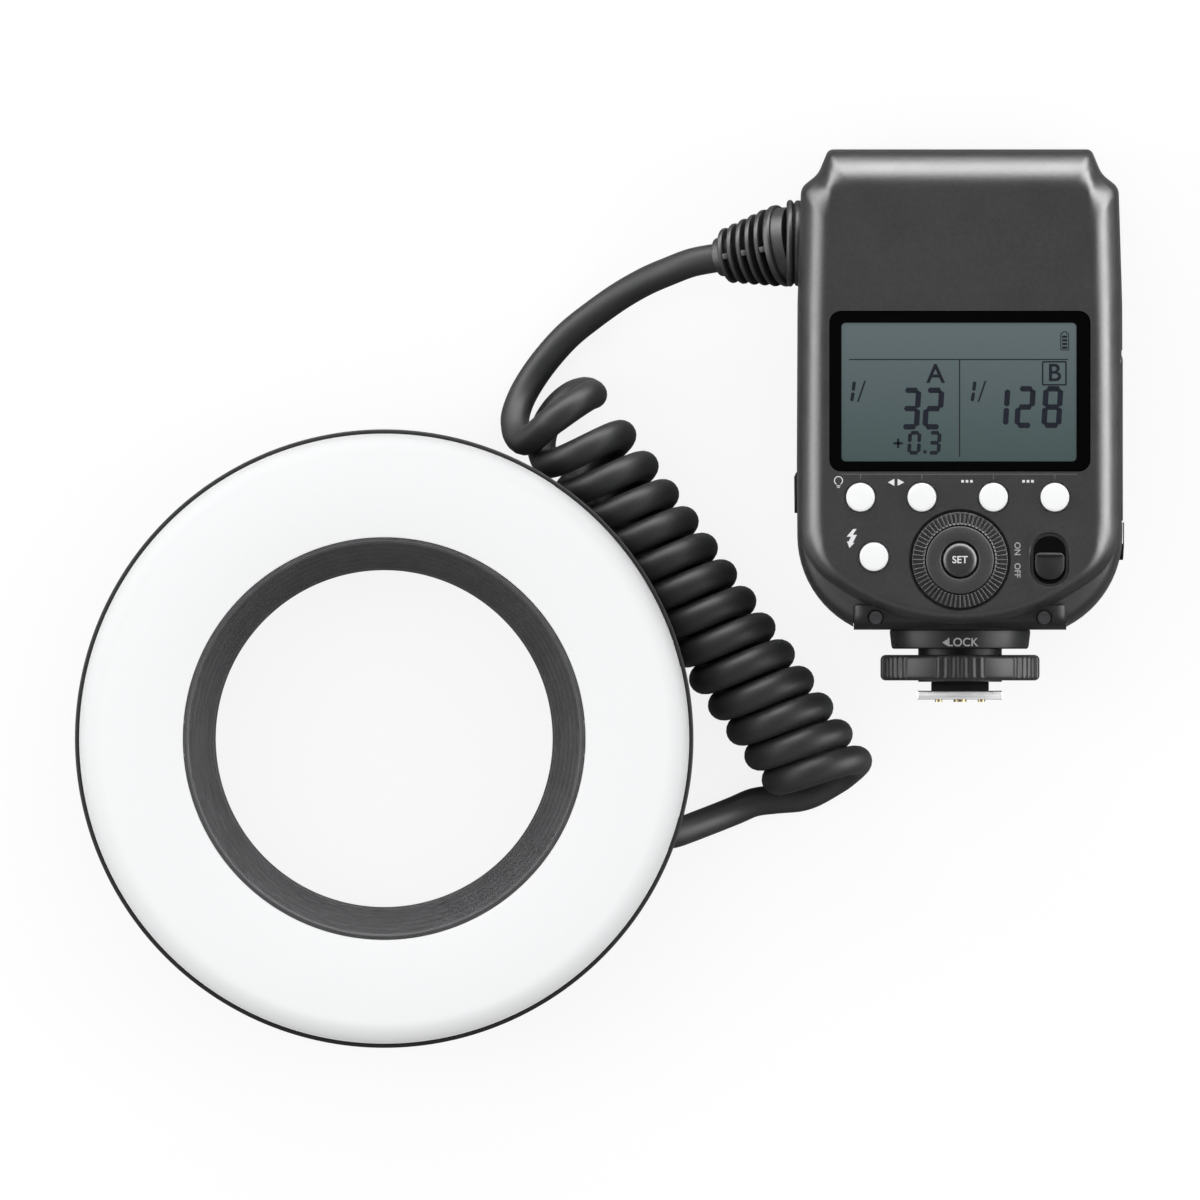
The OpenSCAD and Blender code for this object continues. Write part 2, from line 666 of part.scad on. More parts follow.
module battery_holder() color(soft_black) in_unit() difference() {
    union() {
        box(cell_x0 - 2.2, cell_x1 + 1.4, cell_y - holder_half, cell_y + holder_half,
            cell_z - holder_half, cell_z + holder_half);
        for (x = [cell_x0 + 2, cell_x1 - 10])
            box(x, x + holder_t, cell_y - 10, cell_y + 10, wall, cell_z - holder_half + 0.1);
    }
    box(cell_x0 - 1, half_w, cell_y - holder_half + holder_t, cell_y + holder_half - holder_t,
        cell_z - holder_half + holder_t, cell_z + holder_half - holder_t);
}

module battery_cells() color("#b9bec4") in_unit()
    for (j = [-1, 1], k = [-1, 1]) {
        along = (j * k > 0) ? 1 : -1;
        translate([cell_x0 + cell_l / 2, cell_y + j * (cell_r + cell_gap / 2), cell_z + k * (cell_r + cell_gap / 2)])
            rotate([0, along * 90, 0]) translate([0, 0, -cell_l / 2]) {
                cylinder(r = cell_r, h = cell_l - 1);
                translate([0, 0, cell_l - 1]) cylinder(r = 2.7, h = 1);
            }
    }

module battery_contacts() color(steel) in_unit() for (j = [-1, 1], k = [-1, 1])
    translate([cell_x0 - 1, cell_y + j * (cell_r + cell_gap / 2), cell_z + k * (cell_r + cell_gap / 2)])
        rotate([0, 90, 0]) cylinder(r = 5, h = 0.7);

door_in_x = half_w + door_proud - door_t;
strip_x = cell_x1 + gap;
module battery_door() color(black) in_unit() difference() {
    union() {
        box(door_in_x, half_w + door_proud, door_y0, pin_y, door_z0, door_z1);
        translate([pin_x, pin_y, door_z0]) cylinder(r = knuckle_r, h = door_d);
        box(strip_x + 0.5, door_in_x + 0.1, cell_y - 8, cell_y + 12, cell_z - 12, cell_z + 12);
    }
    translate([pin_x, pin_y, door_z0 - cut]) cylinder(r = door_pin_r + fit, h = door_d + 2 * cut);
}

module door_contacts() color(steel) in_unit()
    for (k = [-1, 1])
        box(strip_x, strip_x + 0.5, cell_y - 12.6, cell_y + 13.4, cell_z + k * cell_r - 5, cell_z + k * cell_r + 5);

module battery_door_pin() color(steel) in_unit()
    translate([pin_x, pin_y, door_z0 - 1.4]) cylinder(r = door_pin_r, h = door_d + 2.8);

module across_latch(x0, x1, y0, y1, half) box(x0, x1, y0, y1, unit_mid_z - half, unit_mid_z + half);

module battery_latch() color(soft_black) in_unit() {
    across_latch(latch_in_x, latch_in_x + latch_keeper_t, latch_stem_y - 1.1, latch_stem_y + latch_stem_h + 1.2,
        latch_keeper_half);
    across_latch(latch_in_x + latch_keeper_t / 2, half_w + 2 * gap, latch_stem_y, latch_stem_y + latch_stem_h,
        latch_stem);
    difference() {
        union() {
            across_latch(half_w + gap, latch_out_x, latch_y0, latch_y0 + latch_rest_h, latch_half);
            across_latch(half_w + door_proud + gap, latch_out_x, latch_y0, door_y0 - gap, latch_half);
        }
        for (k = [0:3])
            translate([latch_out_x - latch_groove[0], latch_y0 + 1.3 + k * latch_groove_pitch, unit_mid_z - latch_half + 1])
                cube([latch_groove[0] + cut, latch_groove[1], 2 * latch_half - 2]);
    }
}

module socket_cover() color("#2e2f31") in_unit() {
    box(-half_w - 0.8, -half_w - 0.1, flap_y0, flap_pin_y, flap_z0, flap_z1);
    translate([flap_pin_x, flap_pin_y, flap_z0]) cylinder(r = flap_knuckle_r, h = flap_z1 - flap_z0);
    translate([flap_pin_x, flap_pin_y, flap_z0 - 1]) cylinder(r = 0.5, h = flap_z1 - flap_z0 + 2);
}

module sync_socket() color("#6b6e72") in_unit()
    translate([-half_w + 0.8, (flap_y0 + flap_y1) / 2 - 0.4, (flap_z0 + flap_z1) / 2]) rotate([0, 90, 0])
        difference() {
            cylinder(r = 2.7, h = 9);
            translate([0, 0, -cut]) cylinder(r = 1.25, h = 8);
        }

// Shoe

collar_y0 = base_y;
collar_y1 = -3.9;
wheel_y0 = -5.2;
wheel_y1 = wheel_y0 - wheel_w;
neck_r = 9;
foot_y0 = wheel_y1 - gap;
rail_y = foot_y0 - 1.9;
foot_y1 = rail_y - foot_t;
rail_w = 12.4;

module lock_collar() color(black) in_unit() difference() {
    union() {
        along_y(collar_y0) rotate_extrude($fn = 120) polygon([
            [0, 0], [base_r, 0], [base_r, 1.2], [base_r - 0.5, 1.5], [base_r - 0.5, collar_y0 - collar_y1],
            [neck_r, collar_y0 - collar_y1], [neck_r, collar_y0 - foot_y0], [0, collar_y0 - foot_y0]
        ]);
    }
    translate([0, 0, 6.2]) along_y(collar_y1 - 1) cylinder(r = lock_pin_r + fit, h = 20);
}

module lock_wheel() color(soft_black) in_unit() difference() {
    union() {
        along_y(wheel_y0) cylinder(r = wheel_r - 0.4, h = 1.2, $fn = 120);
        along_y(wheel_y0 - 1.2) linear_extrude(wheel_w - 2.2) polygon(gripped(wheel_r, 0.5, wheel_ribs));
        along_y(wheel_y1 + 1) cylinder(r = wheel_r - 0.4, h = 1, $fn = 120);
    }
    along_y(wheel_y0 + cut) cylinder(r = neck_r + fit, h = wheel_w + 2 * cut);
}

module shoe_foot() color(steel) in_unit() difference() {
    union() {
        box(-rail_w / 2, rail_w / 2, rail_y - 0.1, foot_y0, unit_mid_z - foot_l / 2, unit_mid_z + foot_l / 2);
        along_y(rail_y) linear_extrude(foot_t)
            polygon(rounded([[foot_w / 2, -foot_l / 2, 1], [foot_w / 2, foot_l / 2, 1],
                [-foot_w / 2, foot_l / 2, 1], [-foot_w / 2, -foot_l / 2, 1]], 3));
    }
    translate([0, 0, 6.2]) along_y(foot_y0 + cut) cylinder(r = lock_pin_r + fit, h = 8);
    along_y(rail_y) cylinder(r = 1.9, h = 8);
    for (s = [-1, 1], k = [-1, 1]) translate([s * 4.6, 0, k * 4]) along_y(rail_y) cylinder(r = 1.1, h = 8);
}

module shoe_contacts() color("#d8c27a") in_unit() {
    along_y(rail_y) cylinder(r = 1.4, h = foot_t + 0.5);
    for (s = [-1, 1], k = [-1, 1]) translate([s * 4.6, 0, k * 4])
        along_y(rail_y) cylinder(r = 0.8, h = foot_t + 0.5);
}

module lock_pin() color(steel) in_unit()
    translate([0, 0, 6.2]) along_y(collar_y1 - 2.6) cylinder(r = lock_pin_r, h = collar_y1 - 2.6 - foot_y1 - 0.1);

// Strain relief of the control unit, in its own frame along the cord

relief_from = [-half_w, relief_y, unit_mid_z];
relief_turn = 10.5;
relief_dip = 20;
relief_core_r = 4.4;
relief_rib_t = 1.45;
relief_first = 5.4;
relief_len = relief_first + relief_ribs * relief_pitch;
relief_end = relief_len + 0.8;
relief_dir = [-cos(relief_dip) * cos(relief_turn), -cos(relief_dip) * sin(relief_turn), -sin(relief_dip)];

module along_relief()
    translate(relief_from) rotate([0, 0, 180 + relief_turn]) rotate([0, 90 + relief_dip, 0]) children();

module relief_space() translate(relief_from) rotate([0, -90, 0]) translate([0, 0, -4]) cylinder(r = 7.55, h = 8);

module unit_strain_relief() color(soft_black) in_unit() {
    translate(relief_from) rotate([0, -90, 0]) {
        translate([0, 0, -4.3]) cylinder(r = 8.4, h = 1.4);
        translate([0, 0, -3]) cylinder(r = 7.5, h = 3.2);
        translate([0, 0, 0.1]) cylinder(r = relief_r, h = 1.4);
    }
    difference() {
        relief_body();
        box(-half_w - 0.1, 0, relief_y - 20, relief_y + 20, 0, unit_d);
    }
}

module relief_body() {
    along_relief() {
        cylinder(r = relief_r - 1.2, h = 3.8);
        translate([0, 0, 2.6]) cylinder(r = relief_r - 0.5, h = 1.6);
        cylinder(r = relief_core_r, h = relief_len);
        for (i = [0:relief_ribs - 1]) {
            r = relief_r - 1 - (relief_r - 1 - relief_tip_r) * i / (relief_ribs - 1);
            translate([0, 0, relief_first + i * relief_pitch]) cylinder(r = r, h = relief_rib_t);
            rotate(90 * (i % 2))
                translate([-r * 0.8, -1, relief_first - relief_pitch + relief_rib_t + i * relief_pitch])
                    cube([r * 1.6, 2, relief_pitch - relief_rib_t + 0.2]);
        }
        translate([0, 0, relief_len - 0.2]) cylinder(r = relief_core_r, h = relief_end - relief_len + 0.2);
    }
}

module unit_screws() color(steel) in_unit() {
    for (p = case_screw_at) translate([p[0], p[1], 0.6]) {
        cylinder(r = 1.55, h = 1.2);
        cylinder(r = 0.9, h = 6);
    }
    for (s = [-1, 1]) translate([s * 18.1, base_y + base_t / 2, shell_z - 1.6]) {
        cylinder(r = 1.4, h = 0.7);
        translate([0, 0, -6]) cylinder(r = 0.8, h = 6.1);
    }
}

// Cord: lead from the control unit, wound part, tail to the ring head

cord_r = 3.1;
cord_sides = 12;
coil_dir = [0.586, -0.810];
coil_side = 71.4;
coil_to = 66.2;
coil_angle = atan2(coil_dir[1], coil_dir[0]);
lead_points = [
    [71.8, 103.4, 18.9], [66.4, 102.4, 16.9], [61.5, 100.6, 14.2], [56.2, 98.3, 10.6],
    [50.6, 95.1, 7.2], [44.8, 91, 4.8], [39.6, 86.8, 3.5], [35.2, 82, 3.2], [31.6, 77, 3.3],
    [29, 72.6, 4.4], [27.9, 68.8, 6.6], [28.4, 66, 9.2], [29.6, 63.6, 11.2]
];
tail_points = [
    [83, -12.1, 3.2], [79.5, -13.5, 3.2], [75.7, -15.1, 3.8], [72, -16.6, 5.4], [68.4, -18.1, 7.9],
    [65, -19.5, 10.4], [62, -20.5, 12.3], [59.1, -20.7, 13.6], [56.3, -19.8, 13.9]
];
lead_end = lead_points[len(lead_points) - 1];
coil_from = coil_dir[0] * lead_end[0] + coil_dir[1] * lead_end[1] + 0.02;

function side_of(d) = unit_vec(cross([0, 0, 1], d));

// Tube swept through its points, each ring square to the way
module tube(points, r, first, last) {
    n = len(points);
    way = [for (i = [0:n - 1])
        i == 0 ? first : i == n - 1 ? last : unit_vec(points[i + 1] - points[i - 1])];
    rings = [for (i = [0:n - 1], k = [0:cord_sides - 1])
        let(s = side_of(way[i]), u = cross(way[i], s), a = 360 * k / cord_sides)
        points[i] + r * (cos(a) * s + sin(a) * u)];
    sides = [for (i = [0:n - 2], k = [0:cord_sides - 1])
        let(a = i * cord_sides, b = a + cord_sides, q = (k + 1) % cord_sides)
        [a + k, b + k, b + q, a + q]];
    polyhedron(rings, concat(
        [[for (k = [0:cord_sides - 1]) k]], sides,
        [[for (k = [cord_sides - 1:-1:0]) (n - 1) * cord_sides + k]]));
}

coil_axis = [coil_dir[0], coil_dir[1], 0];
module cord_lead() color(soft_black)
    tube(lead_points, cord_r, relief_dir, coil_axis);

module cord_coil() color(soft_black)
    rotate(coil_angle) translate([coil_from, coil_side, coil_r]) rotate([0, 90, 0])
        cylinder(r = coil_r, h = coil_to - coil_from);

module cord_tail() color(soft_black)
    tube(tail_points, cord_r, unit_vec(tail_points[1] - tail_points[0]), [-cos(gland_a), -sin(gland_a), 0]);

ring_rear_housing();
ring_rim_band();
ring_diffuser();
lens_bezel();
flash_tube_left();
flash_tube_right();
reflector_left();
reflector_right();
ring_circuit_board();
modelling_lamps();
trigger_coils();
ring_screws();
ring_cable_gland();
release_button_left();
release_button_right();
release_lever_left();
release_lever_right();
front_cover();
rear_cover();
base_plate();
lcd_window();
lcd_panel();
lcd_backlight();
key_lamp();
key_mode();
key_custom();
key_ratio();
key_test();
select_dial();
dial_cap();
set_key();
power_switch();
main_board();
key_switches();
dial_encoder();
switch_body();
flash_capacitor();
transformer();
battery_holder();
battery_cells();
battery_contacts();
battery_door();
door_contacts();
battery_door_pin();
battery_latch();
socket_cover();
sync_socket();
lock_collar();
lock_wheel();
shoe_foot();
shoe_contacts();
lock_pin();
unit_strain_relief();
unit_screws();
cord_lead();
cord_coil();
cord_tail();
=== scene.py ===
"""Looks of the macro ring flash: ring head, curly cord and control unit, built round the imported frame.

Lengths inside the classes are in millimetres, in the row frame.
A mesh is turned to metres once, when it is finished.
"""

from __future__ import annotations

import json
import logging
import math
from dataclasses import dataclass, field
from enum import Enum
from typing import Callable, Iterable, Sequence

import bmesh
import bpy
from mathutils import Matrix, Vector

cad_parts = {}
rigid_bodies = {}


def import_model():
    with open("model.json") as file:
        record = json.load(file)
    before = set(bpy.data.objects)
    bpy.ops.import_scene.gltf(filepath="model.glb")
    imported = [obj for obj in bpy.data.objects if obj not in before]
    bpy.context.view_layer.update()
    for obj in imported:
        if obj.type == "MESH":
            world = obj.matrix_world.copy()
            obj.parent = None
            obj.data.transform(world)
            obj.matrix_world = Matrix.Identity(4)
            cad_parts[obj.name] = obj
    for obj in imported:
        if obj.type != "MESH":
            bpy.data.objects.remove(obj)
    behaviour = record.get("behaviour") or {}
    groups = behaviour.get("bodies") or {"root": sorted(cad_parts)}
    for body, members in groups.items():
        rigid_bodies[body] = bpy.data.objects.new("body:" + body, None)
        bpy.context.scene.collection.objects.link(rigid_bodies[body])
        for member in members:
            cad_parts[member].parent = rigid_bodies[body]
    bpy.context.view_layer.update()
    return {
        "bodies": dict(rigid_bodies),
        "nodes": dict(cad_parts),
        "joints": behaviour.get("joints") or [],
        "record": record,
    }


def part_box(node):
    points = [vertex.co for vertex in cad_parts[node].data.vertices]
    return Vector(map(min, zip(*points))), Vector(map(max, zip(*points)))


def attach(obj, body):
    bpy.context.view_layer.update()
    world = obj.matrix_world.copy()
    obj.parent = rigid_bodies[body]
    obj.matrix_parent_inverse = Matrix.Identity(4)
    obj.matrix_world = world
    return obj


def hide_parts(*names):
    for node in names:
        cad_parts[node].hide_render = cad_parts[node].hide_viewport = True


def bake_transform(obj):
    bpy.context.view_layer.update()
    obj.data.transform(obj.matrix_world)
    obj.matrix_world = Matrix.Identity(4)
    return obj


LOG = logging.getLogger("ring_flash")
MM = 0.001
PIXEL_MM = 0.215
PHOTO_PIXELS = 1200
BORE_PIXEL = (384.2, 738.8)
Point = tuple[float, float, float]
Flat = tuple[float, float]


class Axis(Enum):
    """An axis of the row frame that a turned shape is spun round."""

    X = (1.0, 0.0, 0.0)
    Y = (0.0, 1.0, 0.0)
    Z = (0.0, 0.0, 1.0)


class Body(Enum):
    """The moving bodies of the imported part."""

    UNIT = "control_unit"
    RING = "ring_head"
    DIAL = "dial"
    SET = "set_button"
    POWER = "power_knob"
    DOOR = "door"
    LATCH = "latch"
    FLAP = "socket_flap"
    WHEEL = "wheel"
    LAMP_KEY = "lamp_key"
    MODE_KEY = "mode_key"
    CUSTOM_KEY = "custom_key"
    RATIO_KEY = "ratio_key"
    TEST_KEY = "test_key"
    BUTTON_LEFT = "button_left"
    BUTTON_RIGHT = "button_right"


# Shader values


class Web:
    """The node tree of one material, and the one way in which its nodes are made."""

    def __init__(self, material: bpy.types.Material) -> None:
        """Empties the material's tree and keeps it."""
        material.use_nodes = True
        self.tree = material.node_tree
        self.tree.nodes.clear()

    @classmethod
    def of_tree(cls, tree: bpy.types.NodeTree) -> "Web":
        """The same for a tree that isn't a material's."""
        made = cls.__new__(cls)
        made.tree = tree
        tree.nodes.clear()
        return made

    def node(self, kind: str, settings: dict | None = None, values: dict | None = None) -> bpy.types.Node:
        """Adds a node.

        Args:
            kind: The node's type name.
            settings: Its settings, set first; "stops" holds a ramp's places and greys or colours.
            values: Numbers, colours or links for its sockets, by name or index.

        Returns:
            The new node.
        """
        made = self.tree.nodes.new(kind)
        for key, value in (settings or {}).items():
            if key == "stops":
                self._ramp(made, value)
            else:
                setattr(made, key, value)
        for key, value in (values or {}).items():
            socket = made.inputs[key]
            if isinstance(value, Wire):
                self.tree.links.new(value.socket, socket)
            elif isinstance(value, bpy.types.NodeSocket):
                self.tree.links.new(value, socket)
            else:
                socket.default_value = value
        return made

    @staticmethod
    def _ramp(made: bpy.types.Node, stops: Sequence[tuple[float, Sequence[float]]]) -> None:
        """Sets the stops of a colour ramp."""
        ramp = made.color_ramp
        while len(ramp.elements) > 1:
            ramp.elements.remove(ramp.elements[-1])
        ramp.elements[0].position = stops[0][0]
        ramp.elements[0].color = (*stops[0][1], 1.0)
        for place, colour in stops[1:]:
            ramp.elements.new(place).color = (*colour, 1.0)

    def place(self) -> bpy.types.NodeSocket:
        """The surface point in the object's own coordinates, in metres."""
        return self.node("ShaderNodeTexCoord").outputs["Object"]

    def noise(self, scale: float, detail: float = 3.0, at: bpy.types.NodeSocket | None = None) -> "Wire":
        """A noise value from 0 to 1.

        Args:
            scale: Cells per metre.
            detail: Octaves.
            at: The point to read it at, or the object coordinates.

        Returns:
            The noise as a wire.
        """
        made = self.node(
            "ShaderNodeTexNoise",
            {"noise_dimensions": "3D"},
            {"Vector": at or self.place(), "Scale": scale, "Detail": detail},
        )
        return Wire(self, made.outputs["Fac"])

    def cells(self, scale: float) -> "Wire":
        """Distance to the nearest of scattered points, for a moulded grain."""
        made = self.node("ShaderNodeTexVoronoi", None, {"Vector": self.place(), "Scale": scale})
        return Wire(self, made.outputs["Distance"])

    def axes(self) -> tuple["Wire", "Wire", "Wire"]:
        """The three object coordinates as wires, in metres."""
        made = self.node("ShaderNodeSeparateXYZ", None, {"Vector": self.place()})
        return Wire(self, made.outputs["X"]), Wire(self, made.outputs["Y"]), Wire(self, made.outputs["Z"])

    def mix(self, share: "Wire", low: Sequence[float], high: Sequence[float]) -> bpy.types.NodeSocket:
        """A colour between two, by a share from 0 to 1."""
        made = self.node("ShaderNodeMix", {"data_type": "RGBA"}, {"Factor": share})
        colours = [s for s in made.inputs if s.type == "RGBA"]
        colours[0].default_value = (*low, 1.0)
        colours[1].default_value = (*high, 1.0)
        return next(s for s in made.outputs if s.type == "RGBA")

    def bump(self, height: "Wire", depth: float, strength: float = 1.0) -> bpy.types.NodeSocket:
        """A bumped normal from a height.

        Args:
            height: The height, from about 0 to 1.
            depth: What a height of 1 stands for, in metres.
            strength: How much of the bump shows.

        Returns:
            The normal socket.
        """
        made = self.node("ShaderNodeBump", None, {"Height": height, "Distance": depth, "Strength": strength})
        return made.outputs["Normal"]

    def surface(self, **sockets: object) -> None:
        """Ends the tree in a Principled shader with these socket values; _ stands for a space."""
        shader = self.node(
            "ShaderNodeBsdfPrincipled", None, {k.replace("_", " "): v for k, v in sockets.items()}
        )
        self.node("ShaderNodeOutputMaterial", None, {"Surface": shader.outputs["BSDF"]})


class Wire:
    """A number in a shader: arithmetic on it adds Math nodes."""

    def __init__(self, web: Web, socket: bpy.types.NodeSocket) -> None:
        """Keeps the tree and the socket that the number comes out of."""
        self.web = web
        self.socket = socket

    def _math(self, operation: str, *values: object, clamp: bool = False) -> "Wire":
        """One Math node on these values."""
        made = self.web.node(
            "ShaderNodeMath", {"operation": operation, "use_clamp": clamp}, dict(enumerate(values))
        )
        return Wire(self.web, made.outputs[0])

    def __add__(self, other: object) -> "Wire":
        """Sum."""
        return self._math("ADD", self, other)

    __radd__ = __add__

    def __sub__(self, other: object) -> "Wire":
        """Difference."""
        return self._math("SUBTRACT", self, other)

    def __rsub__(self, other: object) -> "Wire":
        """Difference from a number."""
        return self._math("SUBTRACT", other, self)

    def __mul__(self, other: object) -> "Wire":
        """Product."""
        return self._math("MULTIPLY", self, other)

    __rmul__ = __mul__

    def __truediv__(self, other: object) -> "Wire":
        """Quotient."""
        return self._math("DIVIDE", self, other)

    def sine(self) -> "Wire":
        """Sine of the value in radians."""
        return self._math("SINE", self)

    def root(self) -> "Wire":
        """Square root."""
        return self._math("SQRT", self)

    def angle_from(self, across: "Wire") -> "Wire":
        """Angle whose tangent is this value over another."""
        return self._math("ARCTAN2", self, across)

    def size(self) -> "Wire":
        """Absolute value."""
        return self._math("ABSOLUTE", self)

    def part(self) -> "Wire":
        """Fractional part."""
        return self._math("FRACT", self)

    def above(self, limit: float) -> "Wire":
        """1 where the value is over a limit, else 0."""
        return self._math("GREATER_THAN", self, limit)

    def held_above(self, limit: float) -> "Wire":
        """The value, but never under a limit."""
        return self._math("MAXIMUM", self, limit)

    def held_under(self, other: object) -> "Wire":
        """The value, but never over another."""
        return self._math("MINIMUM", self, other)

    def held(self) -> "Wire":
        """The value kept between 0 and 1."""
        return self._math("ADD", self, 0.0, clamp=True)

    def spread(self, low: float, high: float) -> "Wire":
        """The value moved from low..high to 0..1, and kept there."""
        return ((self - low) / (high - low)).held()


# Finishes


def shade(colour: Sequence[float], factor: float) -> tuple[float, float, float]:
    """A colour made lighter or darker by a factor."""
    return tuple(min(c * factor, 1.0) for c in colour)


@dataclass(frozen=True)
class Finish:
    """A finish: its material is made once and then shared."""

    label: str

    def dress(self, web: Web) -> None:
        """Builds the nodes of the finish."""
        raise NotImplementedError

    def material(self) -> bpy.types.Material:
        """The finish as a material, made on first use."""
        found = bpy.data.materials.get(self.label)
        if found is None:
            found = bpy.data.materials.new(self.label)
            self.dress(Web(found))
        return found


@dataclass(frozen=True)
class Moulded(Finish):
    """Moulded plastic or rubber: spark-eroded grain, faint cloudiness and rubbed patches."""

    colour: tuple[float, float, float] = (0.03, 0.03, 0.032)
    rough: float = 0.5
    gloss: float = 0.3
    grain: float = 2600.0
    depth: float = 0.00002
    cloud: float = 0.14
    fleck: float = 0.3

    def dress(self, web: Web) -> None:
        """Grain from fine cells, clouds and rubbed patches from two noises."""
        cloud = web.noise(38.0, 4.0)
        rubbed = web.noise(190.0, 3.0).spread(0.45, 0.75)
        height = web.noise(self.grain, 2.0) * 0.7 + web.cells(self.grain * 0.6) * 0.3
        tone = (cloud.spread(0.25, 0.75) * (1 - self.fleck) + height.spread(0.25, 0.7) * self.fleck).held()
        colour = web.mix(tone, shade(self.colour, 1 - self.cloud), shade(self.colour, 1 + self.cloud))
        web.surface(
            Base_Color=colour,
            Roughness=rubbed * -0.05 + (self.rough + 0.02),
            Specular_IOR_Level=self.gloss,
            Normal=web.bump(height, self.depth, 0.6),
        )


@dataclass(frozen=True)
class Turned(Finish):
    """A black cone with fine turned grooves round the bore."""

    colour: tuple[float, float, float] = (0.055, 0.055, 0.057)
    pitch: float = 0.00042
    rough: float = 0.42

    def dress(self, web: Web) -> None:
        """Grooves from the distance to the bore's axis and the height up the cone."""
        x, y, z = web.axes()
        radius = (x * x + y * y).root()
        groove = ((radius + z * 0.6) * (2 * math.pi / self.pitch)).sine() * 0.5 + 0.5
        scratch = web.noise(260.0, 4.0)
        web.surface(
            Base_Color=web.mix(
                (groove * 0.6 + scratch * 0.4).spread(0.2, 0.8), shade(self.colour, 0.7), shade(self.colour, 1.5)
            ),
            Roughness=scratch * 0.16 + (self.rough - 0.08),
            Specular_IOR_Level=0.2,
            Normal=web.bump(groove * 0.8 + scratch * 0.2, 0.00006, 0.7),
        )


@dataclass(frozen=True)
class Opal(Finish):
    """The flash's opal front: white, greyed towards its rounded outer shoulder by painted shade."""

    colour: tuple[float, float, float] = (0.89, 0.895, 0.9)
    # shoulder: the colour at the outer shoulder, darker than the middle: painted shade
    shoulder: tuple[float, float, float] = (0.78, 0.785, 0.79)
    middle_r: float = 0.053
    edge_r: float = 0.0655

    def dress(self, web: Web) -> None:
        """White by radius, greyed by painted shade towards the shoulder, with a trace of the ribs behind it and a
        fine prismatic grain.
        """
        x, y, _ = web.axes()
        radius = (x * x + y * y).root()
        # edge: the share of painted shade, rising from the band's middle to the outer shoulder
        edge = (radius - self.middle_r).spread(0.0078, self.edge_r - self.middle_r)
        ribs = ((y.angle_from(x)) * 90.0).sine() * 0.5 + 0.5
        cloud = web.noise(60.0, 3.0)
        tone = web.mix(edge, self.colour, self.shoulder)
        lit = web.node("ShaderNodeMix", {"data_type": "RGBA", "blend_type": "MULTIPLY"}, {"Factor": 0.03})
        pair = [s for s in lit.inputs if s.type == "RGBA"]
        web.tree.links.new(tone, pair[0])
        web.tree.links.new(web.mix(cloud, (0.8, 0.82, 0.84), (1.0, 1.0, 1.0)), pair[1])
        web.surface(
            Base_Color=next(s for s in lit.outputs if s.type == "RGBA"),
            Roughness=cloud * 0.06 + 0.45,
            Specular_IOR_Level=0.05,
            Normal=web.bump(ribs * 0.3 + web.noise(1800.0, 2.0) * 0.7, 0.00001, 0.5),
        )


@dataclass(frozen=True)
class Brushed(Finish):
    """Bright metal with fine straight scratches along one axis."""

    colour: tuple[float, float, float] = (0.62, 0.62, 0.63)
    rough: float = 0.28
    along: Axis = Axis.X

    def dress(self, web: Web) -> None:
        """Scratches from a noise drawn out along the brushing, spots from a second one."""
        stretch = [60.0 if a else 2400.0 for a in self.along.value]
        drawn = web.node("ShaderNodeVectorMath", {"operation": "MULTIPLY"}, {0: web.place(), 1: stretch})
        scratch = web.noise(1.0, 3.0, drawn.outputs["Vector"])
        spots = web.noise(500.0, 3.0)
        web.surface(
            Base_Color=web.mix(scratch.spread(0.3, 0.7), shade(self.colour, 0.82), shade(self.colour, 1.1)),
            Metallic=1.0,
            Roughness=spots * 0.14 + (self.rough - 0.06) + scratch * 0.06,
            Normal=web.bump(scratch, 0.00001, 0.5),
        )


@dataclass(frozen=True)
class Screen(Finish):
    """The display's glass over grey-green liquid crystal, a little lighter at the top."""

    top: tuple[float, float, float] = (0.114, 0.144, 0.15)
    bottom: tuple[float, float, float] = (0.06, 0.087, 0.087)
    y_low: float = 0.0
    y_high: float = 0.1

    def dress(self, web: Web) -> None:
        """A fall from top to bottom, with the crystal's fine cross rows."""
        x, y, _ = web.axes()
        rows = (y * 5200.0).sine() * 0.5 + (x * 5200.0).sine() * 0.5
        fall = y.spread(self.y_low, self.y_high) * 0.9 + web.noise(45.0, 2.0) * 0.08 + rows * 0.01
        web.surface(
            Base_Color=web.mix(fall.held(), self.bottom, self.top),
            Roughness=rows * 0.01 + 0.22,
            Specular_IOR_Level=0.08,
            Normal=web.bump(rows * 0.5 + 0.5, 0.000004, 0.3),
        )


@dataclass(frozen=True)
class Ink(Finish):
    """A printed or shown mark, slightly uneven."""

    colour: tuple[float, float, float] = (0.8, 0.8, 0.8)
    rough: float = 0.5

    def dress(self, web: Web) -> None:
        """Uneven cover from a fine noise."""
        cover = web.noise(1500.0, 3.0)
        web.surface(
            Base_Color=web.mix(cover.spread(0.3, 0.7), shade(self.colour, 0.9), self.colour),
            Roughness=cover * 0.1 + (self.rough - 0.05),
            Specular_IOR_Level=0.2,
            Normal=web.bump(cover, 0.000005, 0.4),
        )


@dataclass(frozen=True)
class Board(Finish):
    """A circuit board: green mask over copper tracks."""

    mask: tuple[float, float, float] = (0.02, 0.12, 0.05)
    track: tuple[float, float, float] = (0.05, 0.22, 0.09)

    def dress(self, web: Web) -> None:
        """Tracks where a folded noise crosses a step."""
        x, y, _ = web.axes()
        track = (((x * 260.0 + web.noise(90.0, 1.0) * 3.0).part() - 0.5).size().above(0.32)) * (
            (y * 190.0 + web.noise(70.0, 1.0) * 2.0).part().above(0.2)
        )
        web.surface(
            Base_Color=web.mix(track, self.mask, self.track),
            Roughness=web.noise(800.0, 2.0) * 0.1 + 0.3,
            Normal=web.bump(track, 0.00004, 0.8),
        )


